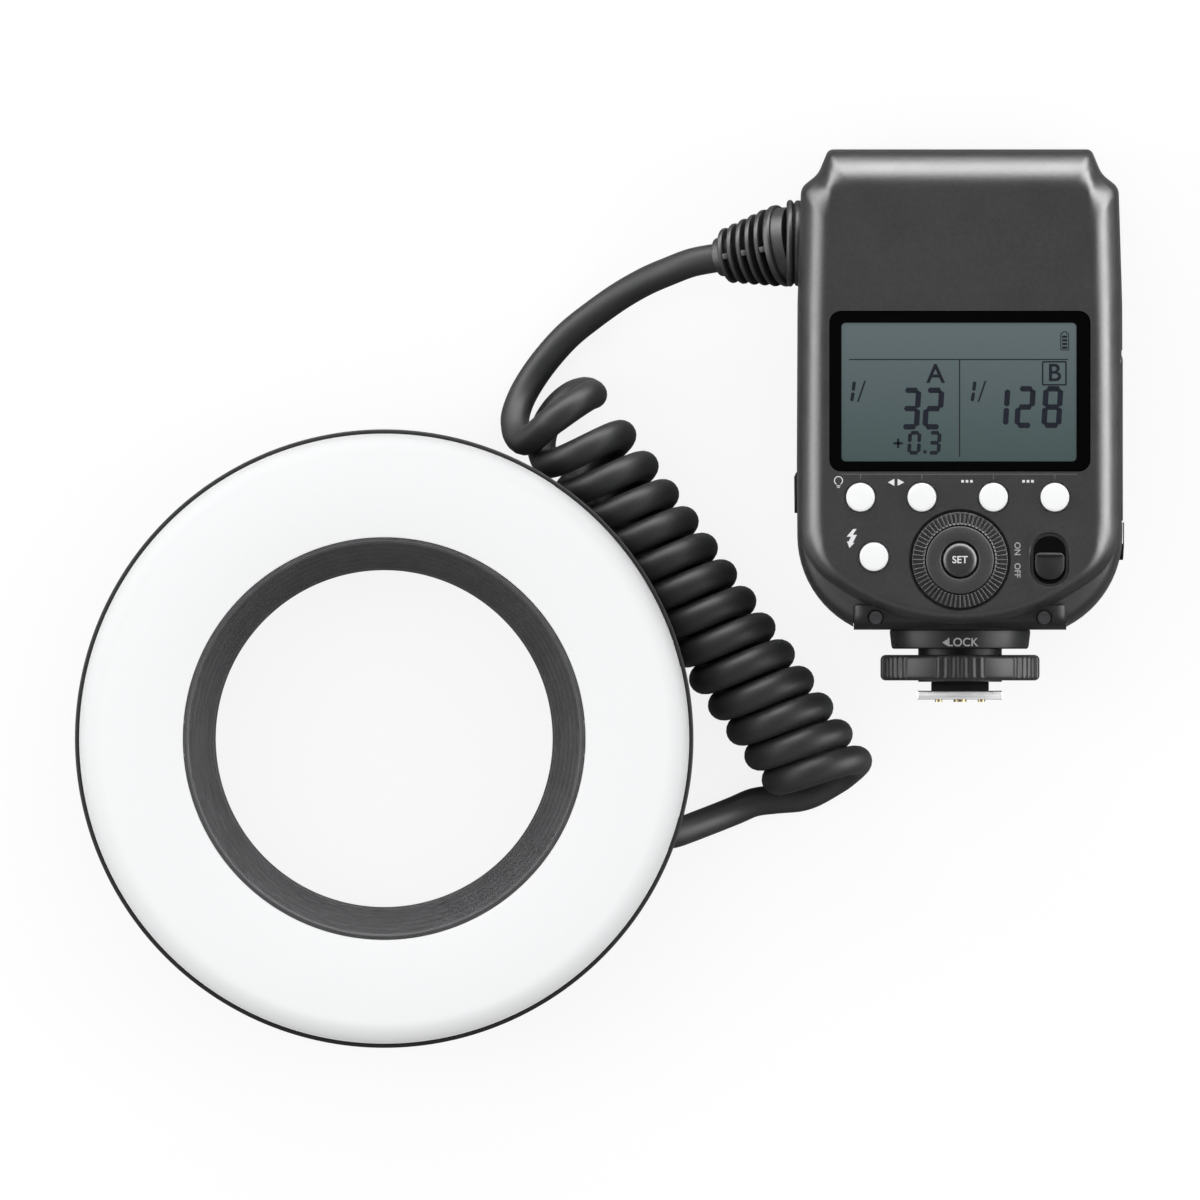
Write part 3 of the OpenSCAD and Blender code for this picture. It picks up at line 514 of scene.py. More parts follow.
@dataclass(frozen=True)
class Wound(Finish):
    """Enamelled copper wire, wound turn by turn."""

    colour: tuple[float, float, float] = (0.5, 0.2, 0.07)
    pitch: float = 0.0004

    def dress(self, web: Web) -> None:
        """Turns as ridges up the height."""
        _, _, z = web.axes()
        turn = (z * (2 * math.pi / self.pitch)).sine() * 0.5 + 0.5
        web.surface(
            Base_Color=web.mix(turn, shade(self.colour, 0.45), self.colour),
            Metallic=0.8,
            Roughness=web.noise(400.0, 2.0) * 0.1 + 0.3,
            Normal=web.bump(turn, 0.0001, 0.9),
        )


@dataclass(frozen=True)
class Sleeve(Finish):
    """A battery cell's shrink sleeve: dark body, bright band at one end."""

    body: tuple[float, float, float] = (0.03, 0.05, 0.09)
    band: tuple[float, float, float] = (0.6, 0.61, 0.62)
    band_from: float = 0.14

    def dress(self, web: Web) -> None:
        """The band starts at a place along X."""
        x, _, _ = web.axes()
        worn = web.noise(700.0, 3.0)
        web.surface(
            Base_Color=web.mix(x.above(self.band_from), self.body, self.band),
            Roughness=worn * 0.12 + 0.25,
            Coat_Weight=0.3,
            Normal=web.bump(worn, 0.00001, 0.5),
        )


@dataclass(frozen=True)
class Glass(Finish):
    """Clear tube glass with slight streaks."""

    colour: tuple[float, float, float] = (0.9, 0.94, 0.97)

    def dress(self, web: Web) -> None:
        """Streaks in roughness and in a slight waviness."""
        streak = web.noise(320.0, 3.0)
        web.surface(
            Base_Color=web.mix(streak, shade(self.colour, 0.9), self.colour),
            Roughness=streak * 0.08 + 0.05,
            Transmission_Weight=0.85,
            IOR=1.47,
            Normal=web.bump(streak, 0.00001, 0.3),
        )


# SATIN is a darker copy of the FACE black; its darkness is painted shade on the covers' back and sides, the side
# pieces and the ring's rear housing
SATIN = Moulded("housing_satin_painted_shade", (0.0085, 0.0085, 0.009), 0.4, 0.18, 1900.0, 0.00003, 0.2, 0.6)
FACE = Moulded("face_satin", (0.019, 0.019, 0.0198), 0.34, 0.5, 1500.0, 0.00004, 0.3, 0.75)
SOFT = Moulded("trim_soft_black", (0.013, 0.013, 0.0137), 0.42, 0.2, 3000.0, 0.000015, 0.16)
CONTROL = Moulded("control_black", (0.017, 0.017, 0.018), 0.34, 0.4, 2800.0, 0.00001, 0.14)
BOOT = Moulded("boot_rubber", (0.02, 0.02, 0.021), 0.42, 0.3, 1700.0, 0.00002, 0.2)
DIAL = Moulded("dial_ribbed", (0.02, 0.02, 0.021), 0.36, 0.35, 2800.0, 0.00001, 0.14)
DISC = Moulded("dial_disc", (0.024, 0.024, 0.025), 0.34, 0.5, 1500.0, 0.00004, 0.3, 0.75)
CORD = Moulded("cord_rubber", (0.025, 0.025, 0.026), 0.46, 0.17, 1700.0, 0.00002, 0.2)
KEY = Moulded("key_white", (0.9, 0.905, 0.91), 0.5, 0.05, 2600.0, 0.00001, 0.02)
WINDOW = Moulded("window_gloss_black", (0.0012, 0.0011, 0.0014), 0.15, 0.03, 900.0, 0.000002, 0.2)
COLLAR = Moulded("collar_satin", (0.011, 0.011, 0.0115), 0.42, 0.2, 1900.0, 0.00002, 0.2)
# DARK is a near-black, also used on the latch and the foot's rail; on the switch body it darkens the switch well as
# painted shade
DARK = Moulded("near_black_and_well_shade", (0.005, 0.005, 0.0053), 0.45, 0.08, 2300.0, 0.00002, 0.2)
PART_GREY = Moulded("part_grey", (0.12, 0.12, 0.13), 0.5, 0.35, 1800.0, 0.00002, 0.2)
BEZEL = Turned("bezel_turned")
OPAL = Opal("diffuser_opal")
STEEL = Brushed("steel_brushed")
BRIGHT = Brushed("foot_bright", (0.86, 0.86, 0.87), 0.34, Axis.X)
SHEET = Brushed("reflector_sheet", (0.75, 0.75, 0.76), 0.18, Axis.Z)
BRASS = Brushed("contact_gilt", (0.26, 0.21, 0.11), 0.32, Axis.Y)
BLACKED = Brushed("screw_blacked", (0.06, 0.06, 0.063), 0.36, Axis.X)
PRINT = Ink("print_white", (0.78, 0.78, 0.79))
FAINT = Ink("print_grey", (0.16, 0.16, 0.165))
SMALL = Ink("print_dull", (0.4, 0.4, 0.41))
SEGMENT = Ink("display_segment", (0.01, 0.012, 0.02), 0.3)
PCB = Board("board_green")
COPPER = Wound("copper_wound")
CELL = Sleeve("cell_sleeve")
TUBE_GLASS = Glass("tube_glass")


# Meshes


def fillet(a: Flat, p: tuple[float, float, float], b: Flat, steps: int) -> list[Flat]:
    """One rounded corner of an outline.

    Args:
        a: The corner before.
        p: The corner's x, y and radius.
        b: The corner after.
        steps: Faces along the arc.

    Returns:
        The arc's points, from the side of a to the side of b.
    """
    at = Vector(p[:2])
    u, v = (Vector(a[:2]) - at).normalized(), (Vector(b[:2]) - at).normalized()
    half = math.acos(max(-1.0, min(1.0, u.dot(v)))) / 2
    centre = at + (u + v).normalized() * (p[2] / math.sin(half))
    first, last = at + u * (p[2] / math.tan(half)) - centre, at + v * (p[2] / math.tan(half)) - centre
    start, turn = math.atan2(first.y, first.x), math.atan2(first.cross(last), first.dot(last))
    return [
        (centre.x + p[2] * math.cos(start + turn * i / steps), centre.y + p[2] * math.sin(start + turn * i / steps))
        for i in range(steps + 1)
    ]


def rounded(corners: Sequence[tuple[float, float, float]], steps: int = 10) -> list[Flat]:
    """Outline through corners of x, y and radius, anticlockwise."""
    n = len(corners)
    return [q for i in range(n) for q in fillet(corners[i - 1], corners[i], corners[(i + 1) % n], steps)]


def mirrored(corners: Sequence[tuple[float, float, float]]) -> list[tuple[float, float, float]]:
    """The same corners on the other side of the centre line, in the way that goes on round."""
    return [(-x, y, r) for x, y, r in reversed(corners)]


def rectangle(w: float, h: float, r: float, at: Flat = (0.0, 0.0), steps: int = 6) -> list[Flat]:
    """Outline of a rectangle with round corners."""
    x, y = at
    right, left, top, low = x + w / 2, x - w / 2, y + h / 2, y - h / 2
    return rounded([(right, low, r), (right, top, r), (left, top, r), (left, low, r)], steps)


def circle(r: float, at: Flat = (0.0, 0.0), steps: int = 64) -> list[Flat]:
    """Outline of a circle."""
    return [
        (at[0] + r * math.cos(2 * math.pi * i / steps), at[1] + r * math.sin(2 * math.pi * i / steps))
        for i in range(steps)
    ]


def ring_of(bm: bmesh.types.BMesh, points: Iterable[Point]) -> list[bmesh.types.BMEdge]:
    """A closed loop of edges through points."""
    verts = [bm.verts.new(p) for p in points]
    return [bm.edges.new((verts[i - 1], verts[i])) for i in range(len(verts))]


def stack(levels: Sequence[tuple[float, Sequence[Flat]]]) -> bmesh.types.BMesh:
    """A closed solid through outlines with the same number of points.

    Args:
        levels: The height and outline of each level, from the bottom up.

    Returns:
        The solid.
    """
    bm = bmesh.new()
    loops = [ring_of(bm, [(x, y, z) for x, y in outline]) for z, outline in levels]
    for low, high in zip(loops, loops[1:]):
        sides = [(low[i], high[i]) for i in range(len(low))]
        for a, b in sides:
            bm.faces.new((a.verts[0], a.verts[1], b.verts[1], b.verts[0]))
    for loop in (loops[0], loops[-1]):
        bmesh.ops.contextual_create(bm, geom=loop)
    bmesh.ops.recalc_face_normals(bm, faces=bm.faces)
    return bm


def turned(profile: Sequence[Flat], steps: int = 180, axis: Axis = Axis.Z) -> bmesh.types.BMesh:
    """A profile of radius and height spun round an axis.

    Args:
        profile: A closed loop of radius and height.
        steps: Faces round the axis.
        axis: The axis to spin round.

    Returns:
        The solid, with the axis through the origin.
    """
    bm = bmesh.new()
    verts = [bm.verts.new((r, 0.0, h)) for r, h in profile]
    edges = [bm.edges.new((verts[i - 1], verts[i])) for i in range(len(verts))]
    bmesh.ops.spin(
        bm, geom=verts + edges, cent=(0, 0, 0), axis=(0, 0, 1), angle=2 * math.pi, steps=steps, use_merge=True
    )
    bmesh.ops.remove_doubles(bm, verts=bm.verts, dist=1e-5)
    if axis is Axis.Y:
        bmesh.ops.rotate(bm, verts=bm.verts, cent=(0, 0, 0), matrix=Matrix.Rotation(math.radians(90), 3, "X"))
    if axis is Axis.X:
        bmesh.ops.rotate(bm, verts=bm.verts, cent=(0, 0, 0), matrix=Matrix.Rotation(math.radians(90), 3, "Y"))
    bmesh.ops.recalc_face_normals(bm, faces=bm.faces)
    return bm


def column(levels: Sequence[Flat], at: Flat = (0.0, 0.0), steps: int = 24) -> bmesh.types.BMesh:
    """A round solid along Z, through levels of height and radius."""
    return stack([(z, circle(r, at, steps)) for z, r in levels])


def pocket(levels: Sequence[tuple[float, float, float, float]], at: Flat, steps: int = 6) -> bmesh.types.BMesh:
    """A solid with round corners along Z, through levels of height, width, length and corner radius."""
    return stack([(z, rectangle(w, h, r, at, steps)) for z, w, h, r in levels])


def rod(r: float, low: float, high: float, steps: int, axis: Axis) -> bmesh.types.BMesh:
    """A plain round rod along an axis."""
    return turned([(0.0, low), (r, low), (r, high), (0.0, high)], steps, axis)


def block(low: Point, high: Point, edge: float = 0.2, segments: int = 2) -> bmesh.types.BMesh:
    """A box between two corners with its edges rounded."""
    bm = bmesh.new()
    bmesh.ops.create_cube(bm, size=1.0)
    size = [b - a for a, b in zip(low, high)]
    bmesh.ops.scale(bm, vec=size, verts=bm.verts)
    bmesh.ops.translate(bm, vec=[(a + b) / 2 for a, b in zip(low, high)], verts=bm.verts)
    if edge > 0:
        bmesh.ops.bevel(
            bm, geom=bm.edges, offset=edge, affect="EDGES", segments=segments, profile=0.5, material=-1
        )
    return bm


def moved(bm: bmesh.types.BMesh, by: Point) -> bmesh.types.BMesh:
    """The same mesh, shifted."""
    bmesh.ops.translate(bm, vec=by, verts=bm.verts)
    return bm


def turned_by(bm: bmesh.types.BMesh, matrix: Matrix) -> bmesh.types.BMesh:
    """The same mesh, put through a matrix."""
    bmesh.ops.transform(bm, matrix=matrix, verts=bm.verts)
    return bm


def joined(parts: Sequence[bmesh.types.BMesh]) -> bmesh.types.BMesh:
    """Several meshes as one, each still closed in itself."""
    whole = bmesh.new()
    for part in parts:
        held = bpy.data.meshes.new("held")
        part.to_mesh(held)
        whole.from_mesh(held)
        part.free()
        bpy.data.meshes.remove(held)
    return whole


def lettering(
    words: str, height: float, at: Flat, z: float, turn: float = 0.0, depth: float = 0.05
) -> bmesh.types.BMesh:
    """Letters or figures as a thin solid.

    Args:
        words: What they say.
        height: Height of a capital.
        at: Their middle.
        z: Their underside.
        turn: Degrees that they are turned by.
        depth: Their thickness.

    Returns:
        The letters' mesh.
    """
    capital, weight = 0.69, 0.018
    curve = bpy.data.curves.new("letters", "FONT")
    curve.body, curve.size, curve.extrude = words, height / capital, depth / 2
    curve.align_x, curve.align_y, curve.offset = "CENTER", "CENTER", weight * height
    holder = bpy.data.objects.new("letters", curve)
    mesh = holder.to_mesh()
    bm = bmesh.new()
    bm.from_mesh(mesh)
    holder.to_mesh_clear()
    bpy.data.objects.remove(holder)
    bpy.data.curves.remove(curve)
    bmesh.ops.remove_doubles(bm, verts=bm.verts, dist=1e-4)
    return turned_by(bm, Matrix.Translation((*at, z + depth / 2)) @ Matrix.Rotation(math.radians(turn), 4, "Z"))


def new_object(name: str, bm: bmesh.types.BMesh, scale: float = MM) -> bpy.types.Object:
    """A mesh as an object in the scene, in metres, and the mesh's data freed."""
    if scale != 1.0:
        bmesh.ops.scale(bm, vec=(scale, scale, scale), verts=bm.verts)
    mesh = bpy.data.meshes.new(name)
    bm.to_mesh(mesh)
    bm.free()
    made = bpy.data.objects.new(name, mesh)
    bpy.context.scene.collection.objects.link(made)
    return made


def smooth(obj: bpy.types.Object, angle: float = 32.0) -> None:
    """Shades a mesh smooth apart from its sharp edges."""
    obj.data.polygons.foreach_set("use_smooth", [True] * len(obj.data.polygons))
    obj.data.set_sharp_from_angle(angle=math.radians(angle))


def dressed(
    name: str,
    bm: bmesh.types.BMesh,
    finish: Finish,
    body: Body,
    stands_for: Sequence[str] = (),
    angle: float = 32.0,
) -> bpy.types.Object:
    """Finishes a piece: object, shading, material, body and the nodes that it stands for.

    Args:
        name: The piece's name.
        bm: Its mesh, in millimetres in the row frame.
        finish: Its finish.
        body: The body that it rides on.
        stands_for: The CAD nodes that it replaces.
        angle: Edges sharper than this stay sharp.

    Returns:
        The piece.
    """
    made = new_object(name, bm)
    smooth(made, angle)
    made.data.materials.append(finish.material())
    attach(made, body.value)
    if stands_for:
        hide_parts(*stands_for)
    LOG.info("%s: %d faces", name, len(made.data.polygons))
    return made


def carved(name: str, solid: bmesh.types.BMesh, cutters: Sequence[bmesh.types.BMesh]) -> bmesh.types.BMesh:
    """A solid with others cut out of it, one after another.

    Args:
        name: A name for the work in hand.
        solid: What is cut.
        cutters: The shapes to take out.

    Returns:
        The mesh that is left.
    """
    base = new_object(name, solid, 1.0)
    tools = [new_object(f"{name}_cut{i}", c, 1.0) for i, c in enumerate(cutters)]
    for tool in tools:
        step = base.modifiers.new(tool.name, "BOOLEAN")
        step.operation, step.solver, step.object = "DIFFERENCE", "EXACT", tool
    bpy.context.view_layer.update()
    held = bpy.data.meshes.new_from_object(base.evaluated_get(bpy.context.evaluated_depsgraph_get()))
    bm = bmesh.new()
    bm.from_mesh(held)
    bpy.data.meshes.remove(held)
    for spent in [base, *tools]:
        mesh = spent.data
        bpy.data.objects.remove(spent)
        bpy.data.meshes.remove(mesh)
    return bm


def softened(node: str, edge: float, angle: float = 25.0) -> bmesh.types.BMesh:
    """A copy of a CAD node with its sharp edges rounded.

    Args:
        node: The node.
        edge: Width of the rounding.
        angle: Edges sharper than this are rounded.

    Returns:
        The copy, in millimetres.
    """
    bm = bmesh.new()
    bm.from_mesh(FRAME["nodes"][node].data)
    bmesh.ops.scale(bm, vec=(1 / MM,) * 3, verts=bm.verts)
    bmesh.ops.remove_doubles(bm, verts=bm.verts, dist=1e-3)
    bmesh.ops.dissolve_limit(bm, angle_limit=math.radians(1.0), verts=bm.verts, edges=bm.edges)
    sharp = [e for e in bm.edges if len(e.link_faces) == 2 and e.calc_face_angle(0.0) > math.radians(angle)]
    bmesh.ops.bevel(
        bm, geom=sharp, offset=edge, affect="EDGES", segments=2, profile=0.5, material=-1, clamp_overlap=True
    )
    return bm


FRAME: dict = {}


def corner_of(node: str) -> tuple[Vector, Vector]:
    """A node's lowest and highest corners, in millimetres."""
    low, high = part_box(node)
    return low / MM, high / MM


# Studio


@dataclass
class Studio:
    """The camera, the pale floor, the soft lamps and the white surround."""

    middle: Flat = (46.4, 29.8)
    height: float = 1.0
    floor_half: float = 1.6
    floor_colour: tuple[float, float, float] = (0.55, 0.55, 0.55)
    surround: float = 0.71
    tent_top: float = 0.5
    tent_side: float = 12.0
    tent_lean: tuple[float, float, float] = (0.28, 0.45, 1.5)
    floor_gloss: float = 0.12
    lamps: list[tuple[str, Point, Point, float, float, float]] = field(
        default_factory=lambda: [
            ("lamp_top", (0.06, 0.85, 0.42), (0.08, 0.05, 0.0), 1.2, 0.4, 2.8),
            ("lamp_left", (-0.72, 0.05, 0.38), (0.08, 0.05, 0.0), 0.4, 1.2, 2.8),
            ("lamp_right", (0.95, 0.05, 0.38), (0.08, 0.05, 0.0), 0.4, 1.2, 2.8),
        ]
    )

    def camera(self) -> None:
        """A level camera straight over the object, framed as the photograph is."""
        data = bpy.data.cameras.new("camera")
        data.type = "ORTHO"
        data.ortho_scale = PHOTO_PIXELS * PIXEL_MM * MM
        data.clip_start, data.clip_end = 0.01, 10.0
        cam = bpy.data.objects.new("camera", data)
        cam.location = (self.middle[0] * MM, self.middle[1] * MM, self.height)
        bpy.context.scene.collection.objects.link(cam)
        bpy.context.scene.camera = cam

    def light(self) -> None:
        """Soft lamps round the object and the white surround."""
        for name, at, to, wide, deep, power in self.lamps:
            data = bpy.data.lights.new(name, "AREA")
            data.shape, data.size, data.size_y, data.energy = "RECTANGLE", wide, deep, power
            lamp = bpy.data.objects.new(name, data)
            lamp.location = at
            lamp.rotation_euler = (Vector(to) - Vector(at)).to_track_quat("-Z", "Y").to_euler()
            bpy.context.scene.collection.objects.link(lamp)
        world = bpy.data.worlds.new("surround")
        world.use_nodes = True
        web = Web.of_tree(world.node_tree)
        path = web.node("ShaderNodeLightPath")
        through = Wire(web, path.outputs["Is Transmission Ray"])
        shown = (Wire(web, path.outputs["Is Camera Ray"]) + through).held()
        glossy = Wire(web, path.outputs["Is Glossy Ray"])
        way = web.node("ShaderNodeTexCoord").outputs["Generated"]
        split = web.node("ShaderNodeSeparateXYZ", None, {"Vector": way})
        x, y, z = (Wire(web, split.outputs[k]) for k in "XYZ")
        across, up, down = self.tent_lean
        lean = ((x * across + 1) * (y * up + 1).held_under(y * down + 1)).held_above(0.04)
        tent = z.spread(0.82, 0.38) * lean * (self.tent_side - self.tent_top) + self.tent_top
        level = tent * glossy + (1 - glossy) * self.surround
        strength = shown + (1 - shown) * level
        back = web.node("ShaderNodeBackground", None, {"Color": (1, 1, 1, 1), "Strength": strength})
        web.node("ShaderNodeOutputWorld", None, {"Surface": back.outputs[0]})
        bpy.context.scene.world = world

    def floor(self) -> None:
        """A plain pale floor that stays white behind the object and keeps its shadow."""
        bm = bmesh.new()
        bmesh.ops.create_grid(bm, x_segments=2, y_segments=2, size=self.floor_half)
        moved(bm, (self.middle[0] * MM, self.middle[1] * MM, -0.0002))
        made = new_object("floor", bm, 1.0)
        material = bpy.data.materials.new("floor_pale")
        web = Web(material)
        tone = web.mix(web.noise(3.0, 3.0), shade(self.floor_colour, 0.99), self.floor_colour)
        matt = web.node("ShaderNodeBsdfDiffuse", None, {"Color": tone})
        white = web.node("ShaderNodeEmission", None, {"Color": (1, 1, 1, 1), "Strength": 1.19})
        path = web.node("ShaderNodeLightPath")
        seen = web.node(
            "ShaderNodeMath",
            {"operation": "MAXIMUM"},
            {0: path.outputs["Is Camera Ray"], 1: path.outputs["Is Transmission Ray"]},
        )
        share = Wire(web, seen.outputs[0]) * 0.72
        both = web.node("ShaderNodeMixShader", None, {0: share, 1: matt.outputs[0], 2: white.outputs[0]})
        dim = web.node("ShaderNodeEmission", None, {"Color": (1, 1, 1, 1), "Strength": self.floor_gloss})
        glossy = Wire(web, path.outputs["Is Glossy Ray"]) * 0.85
        last = web.node("ShaderNodeMixShader", None, {0: glossy, 1: both.outputs[0], 2: dim.outputs[0]})
        web.node("ShaderNodeOutputMaterial", None, {"Surface": last.outputs[0]})
        made.data.materials.append(material)

    def build(self) -> None:
        """Makes all of it and sets the plain view transform."""
        self.camera()
        self.light()
        self.floor()
        bpy.context.scene.view_settings.view_transform = "Standard"


# Cord


@dataclass
class CurlyCord:
    """The cord: a lead from the control unit, the wound part and a tail to the ring head."""

    diameter: float = 6.2
    along: Flat = (0.586, -0.810)
    across: Flat = (0.810, 0.586)
    coil_side: float = 71.4
    coil_height: float = 11.45
    turn_r: float = 8.35
    sides: int = 20
    step: float = 1.15
    turn_points: int = 28
    wound_from: float = 0.19
    wound_to: float = 13.7
    loop_open: float = 5.0
    lead: tuple[Point, ...] = (
        (71.8, 103.4, 18.9), (66.4, 102.4, 16.9), (61.5, 100.6, 14.2), (56.2, 98.3, 10.6),
        (50.6, 95.1, 7.2), (44.8, 91, 4.8), (39.6, 86.8, 3.5), (35.2, 82, 3.2),
        (31.7, 77.2, 3.4), (29.3, 72.8, 4.8), (28.1, 68.6, 7.6), (28.8, 65.0, 11.2), (31.0, 64.1, 14.7),
    )
    tips: tuple[float, ...] = (
        -33.5, -23.0, -14.8, -7.3, -0.1, 6.95, 14.0, 21.05, 28.1, 35.2, 42.25, 49.3, 56.4, 63.5,
    )
    back_share: tuple[float, ...] = (
        0.57, 0.40, 0.31, 0.26, 0.26, 0.26, 0.26, 0.26, 0.26, 0.24, 0.19, 0.13, 0.03,
    )
    last_left: float = 64.2
    under: tuple[Point, ...] = (
        (63.8, 69.6, 3.15), (63.3, 66.9, 3.1), (62.4, 64.6, 3.1), (61.0, 62.3, 3.1), (59.5, 59.8, 3.1),
    )
    tail: tuple[Point, ...] = (
        (79.5, -13.7, 3.2), (75.7, -15.3, 3.8), (72, -16.8, 5.4), (68.4, -18.2, 7.9), (65, -19.5, 10.4),
        (62, -20.5, 12.3), (59.1, -20.7, 13.6), (56.3, -19.8, 13.9),
    )
    stretch_from: float = -33.0
    stretch_to: float = 46.0

    def frame_point(self, s: float, p: float, z: float) -> Point:
        """A point from its place along, across and above the winding's axis."""
        return (
            self.along[0] * s + self.across[0] * p,
            self.along[1] * s + self.across[1] * p,
            z,
        )

    def marks(self) -> list[tuple[float, float]]:
        """Turn number and place along the axis at each end of each strand."""
        found = [(0.0, -34.2)]
        for i, s in enumerate(self.tips):
            found.append((i + 0.5, s))
            if i + 1 < len(self.tips):
                found.append((i + 1.0, s + self.back_share[i] * (self.tips[i + 1] - s)))
        return [*found, (float(len(self.tips)), self.last_left)]

    def along_at(self, t: float, marks: Sequence[tuple[float, float]]) -> float:
        """Place along the axis at turn t, on a smooth curve through the marks."""
        i = min(int(t * 2), len(marks) - 2)
        (t0, a), (t1, b) = marks[i], marks[i + 1]
        u = (t - t0) / (t1 - t0)
        m0 = (b - marks[i - 1][1]) / 2 if i > 0 else b - a
        m1 = (marks[i + 2][1] - a) / 2 if i + 2 < len(marks) else b - a
        ends = (2 * u**3 - 3 * u**2 + 1) * a + (u**3 - 2 * u**2 + u) * m0
        return ends + (3 * u**2 - 2 * u**3) * b + (u**3 - u**2) * m1

    def route(self) -> list[Point]:
        """The centreline's guide points, from the control unit to the ring head."""
        marks = self.marks()
        points = list(self.lead)
        t = self.wound_from
        while t <= self.wound_to:
            s = self.along_at(t, marks)
            if 0.5 < t < 1.0:
                s -= self.loop_open * math.sin(math.pi * (t - 0.5) / 0.5)
            a = math.pi - 2 * math.pi * t
            points.append(
                self.frame_point(
                    s, self.coil_side + self.turn_r * math.cos(a), self.coil_height + self.turn_r * math.sin(a)
                )
            )
            t += 1 / self.turn_points
        return [*points, *(self.frame_point(*q) for q in self.under), *self.tail]

    def centreline(self) -> list[Vector]:
        """The route as evenly spaced points on a smooth curve."""
        guide = [Vector(p) for p in self.route()]
        line = []
        for i in range(len(guide) - 1):
            p0, p1, p2, p3 = guide[max(i - 1, 0)], guide[i], guide[i + 1], guide[min(i + 2, len(guide) - 1)]
            n = max(1, round((p2 - p1).length / self.step))
            for j in range(n):
                u = j / n
                line.append(
                    0.5
                    * (
                        2 * p1
                        + (p2 - p0) * u
                        + (2 * p0 - 5 * p1 + 4 * p2 - p3) * u**2
                        + (3 * p1 - p0 - 3 * p2 + p3) * u**3
                    )
                )
        return [*line, guide[-1]]

    def tube(self, line: Sequence[Vector]) -> bmesh.types.BMesh:
        """A closed tube round the centreline, its rings carried along without twist."""
        bm = bmesh.new()
        way = [(line[min(i + 1, len(line) - 1)] - line[max(i - 1, 0)]).normalized() for i in range(len(line))]
        side = way[0].cross(Vector((0, 0, 1))).normalized()
        loops = []
        for at, d in zip(line, way):
            side = (side - d * side.dot(d)).normalized()
            up = d.cross(side)
            loops.append(
                ring_of(
                    bm,
                    [
                        at + (side * math.cos(a) + up * math.sin(a)) * (self.diameter / 2)
                        for a in (2 * math.pi * k / self.sides for k in range(self.sides))
                    ],
                )
            )
        for low, high in zip(loops, loops[1:]):
            for a, b in zip(low, high):
                bm.faces.new((a.verts[0], a.verts[1], b.verts[1], b.verts[0]))
        for loop in (loops[0], loops[-1]):
            bmesh.ops.contextual_create(bm, geom=loop)
        bmesh.ops.recalc_face_normals(bm, faces=bm.faces)
        return bm

    def build(self) -> None:
        line = self.centreline()
        length = sum((b - a).length for a, b in zip(line, line[1:]))
        made = new_object("curly_cord", self.tube(line))
        smooth(made, 60.0)
        made.data.materials.append(CORD.material())
        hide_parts("cord_lead", "cord_coil", "cord_tail")
        Vector(self.frame_point(self.stretch_from, self.coil_side, self.coil_height)) * MM
        Vector(self.frame_point(self.stretch_to, self.coil_side, self.coil_height)) * MM
        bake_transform(made)
        [p * MM for p in line]
        LOG.info("curly_cord: %.0f mm long, %d rings", length, len(line))


# Ring head


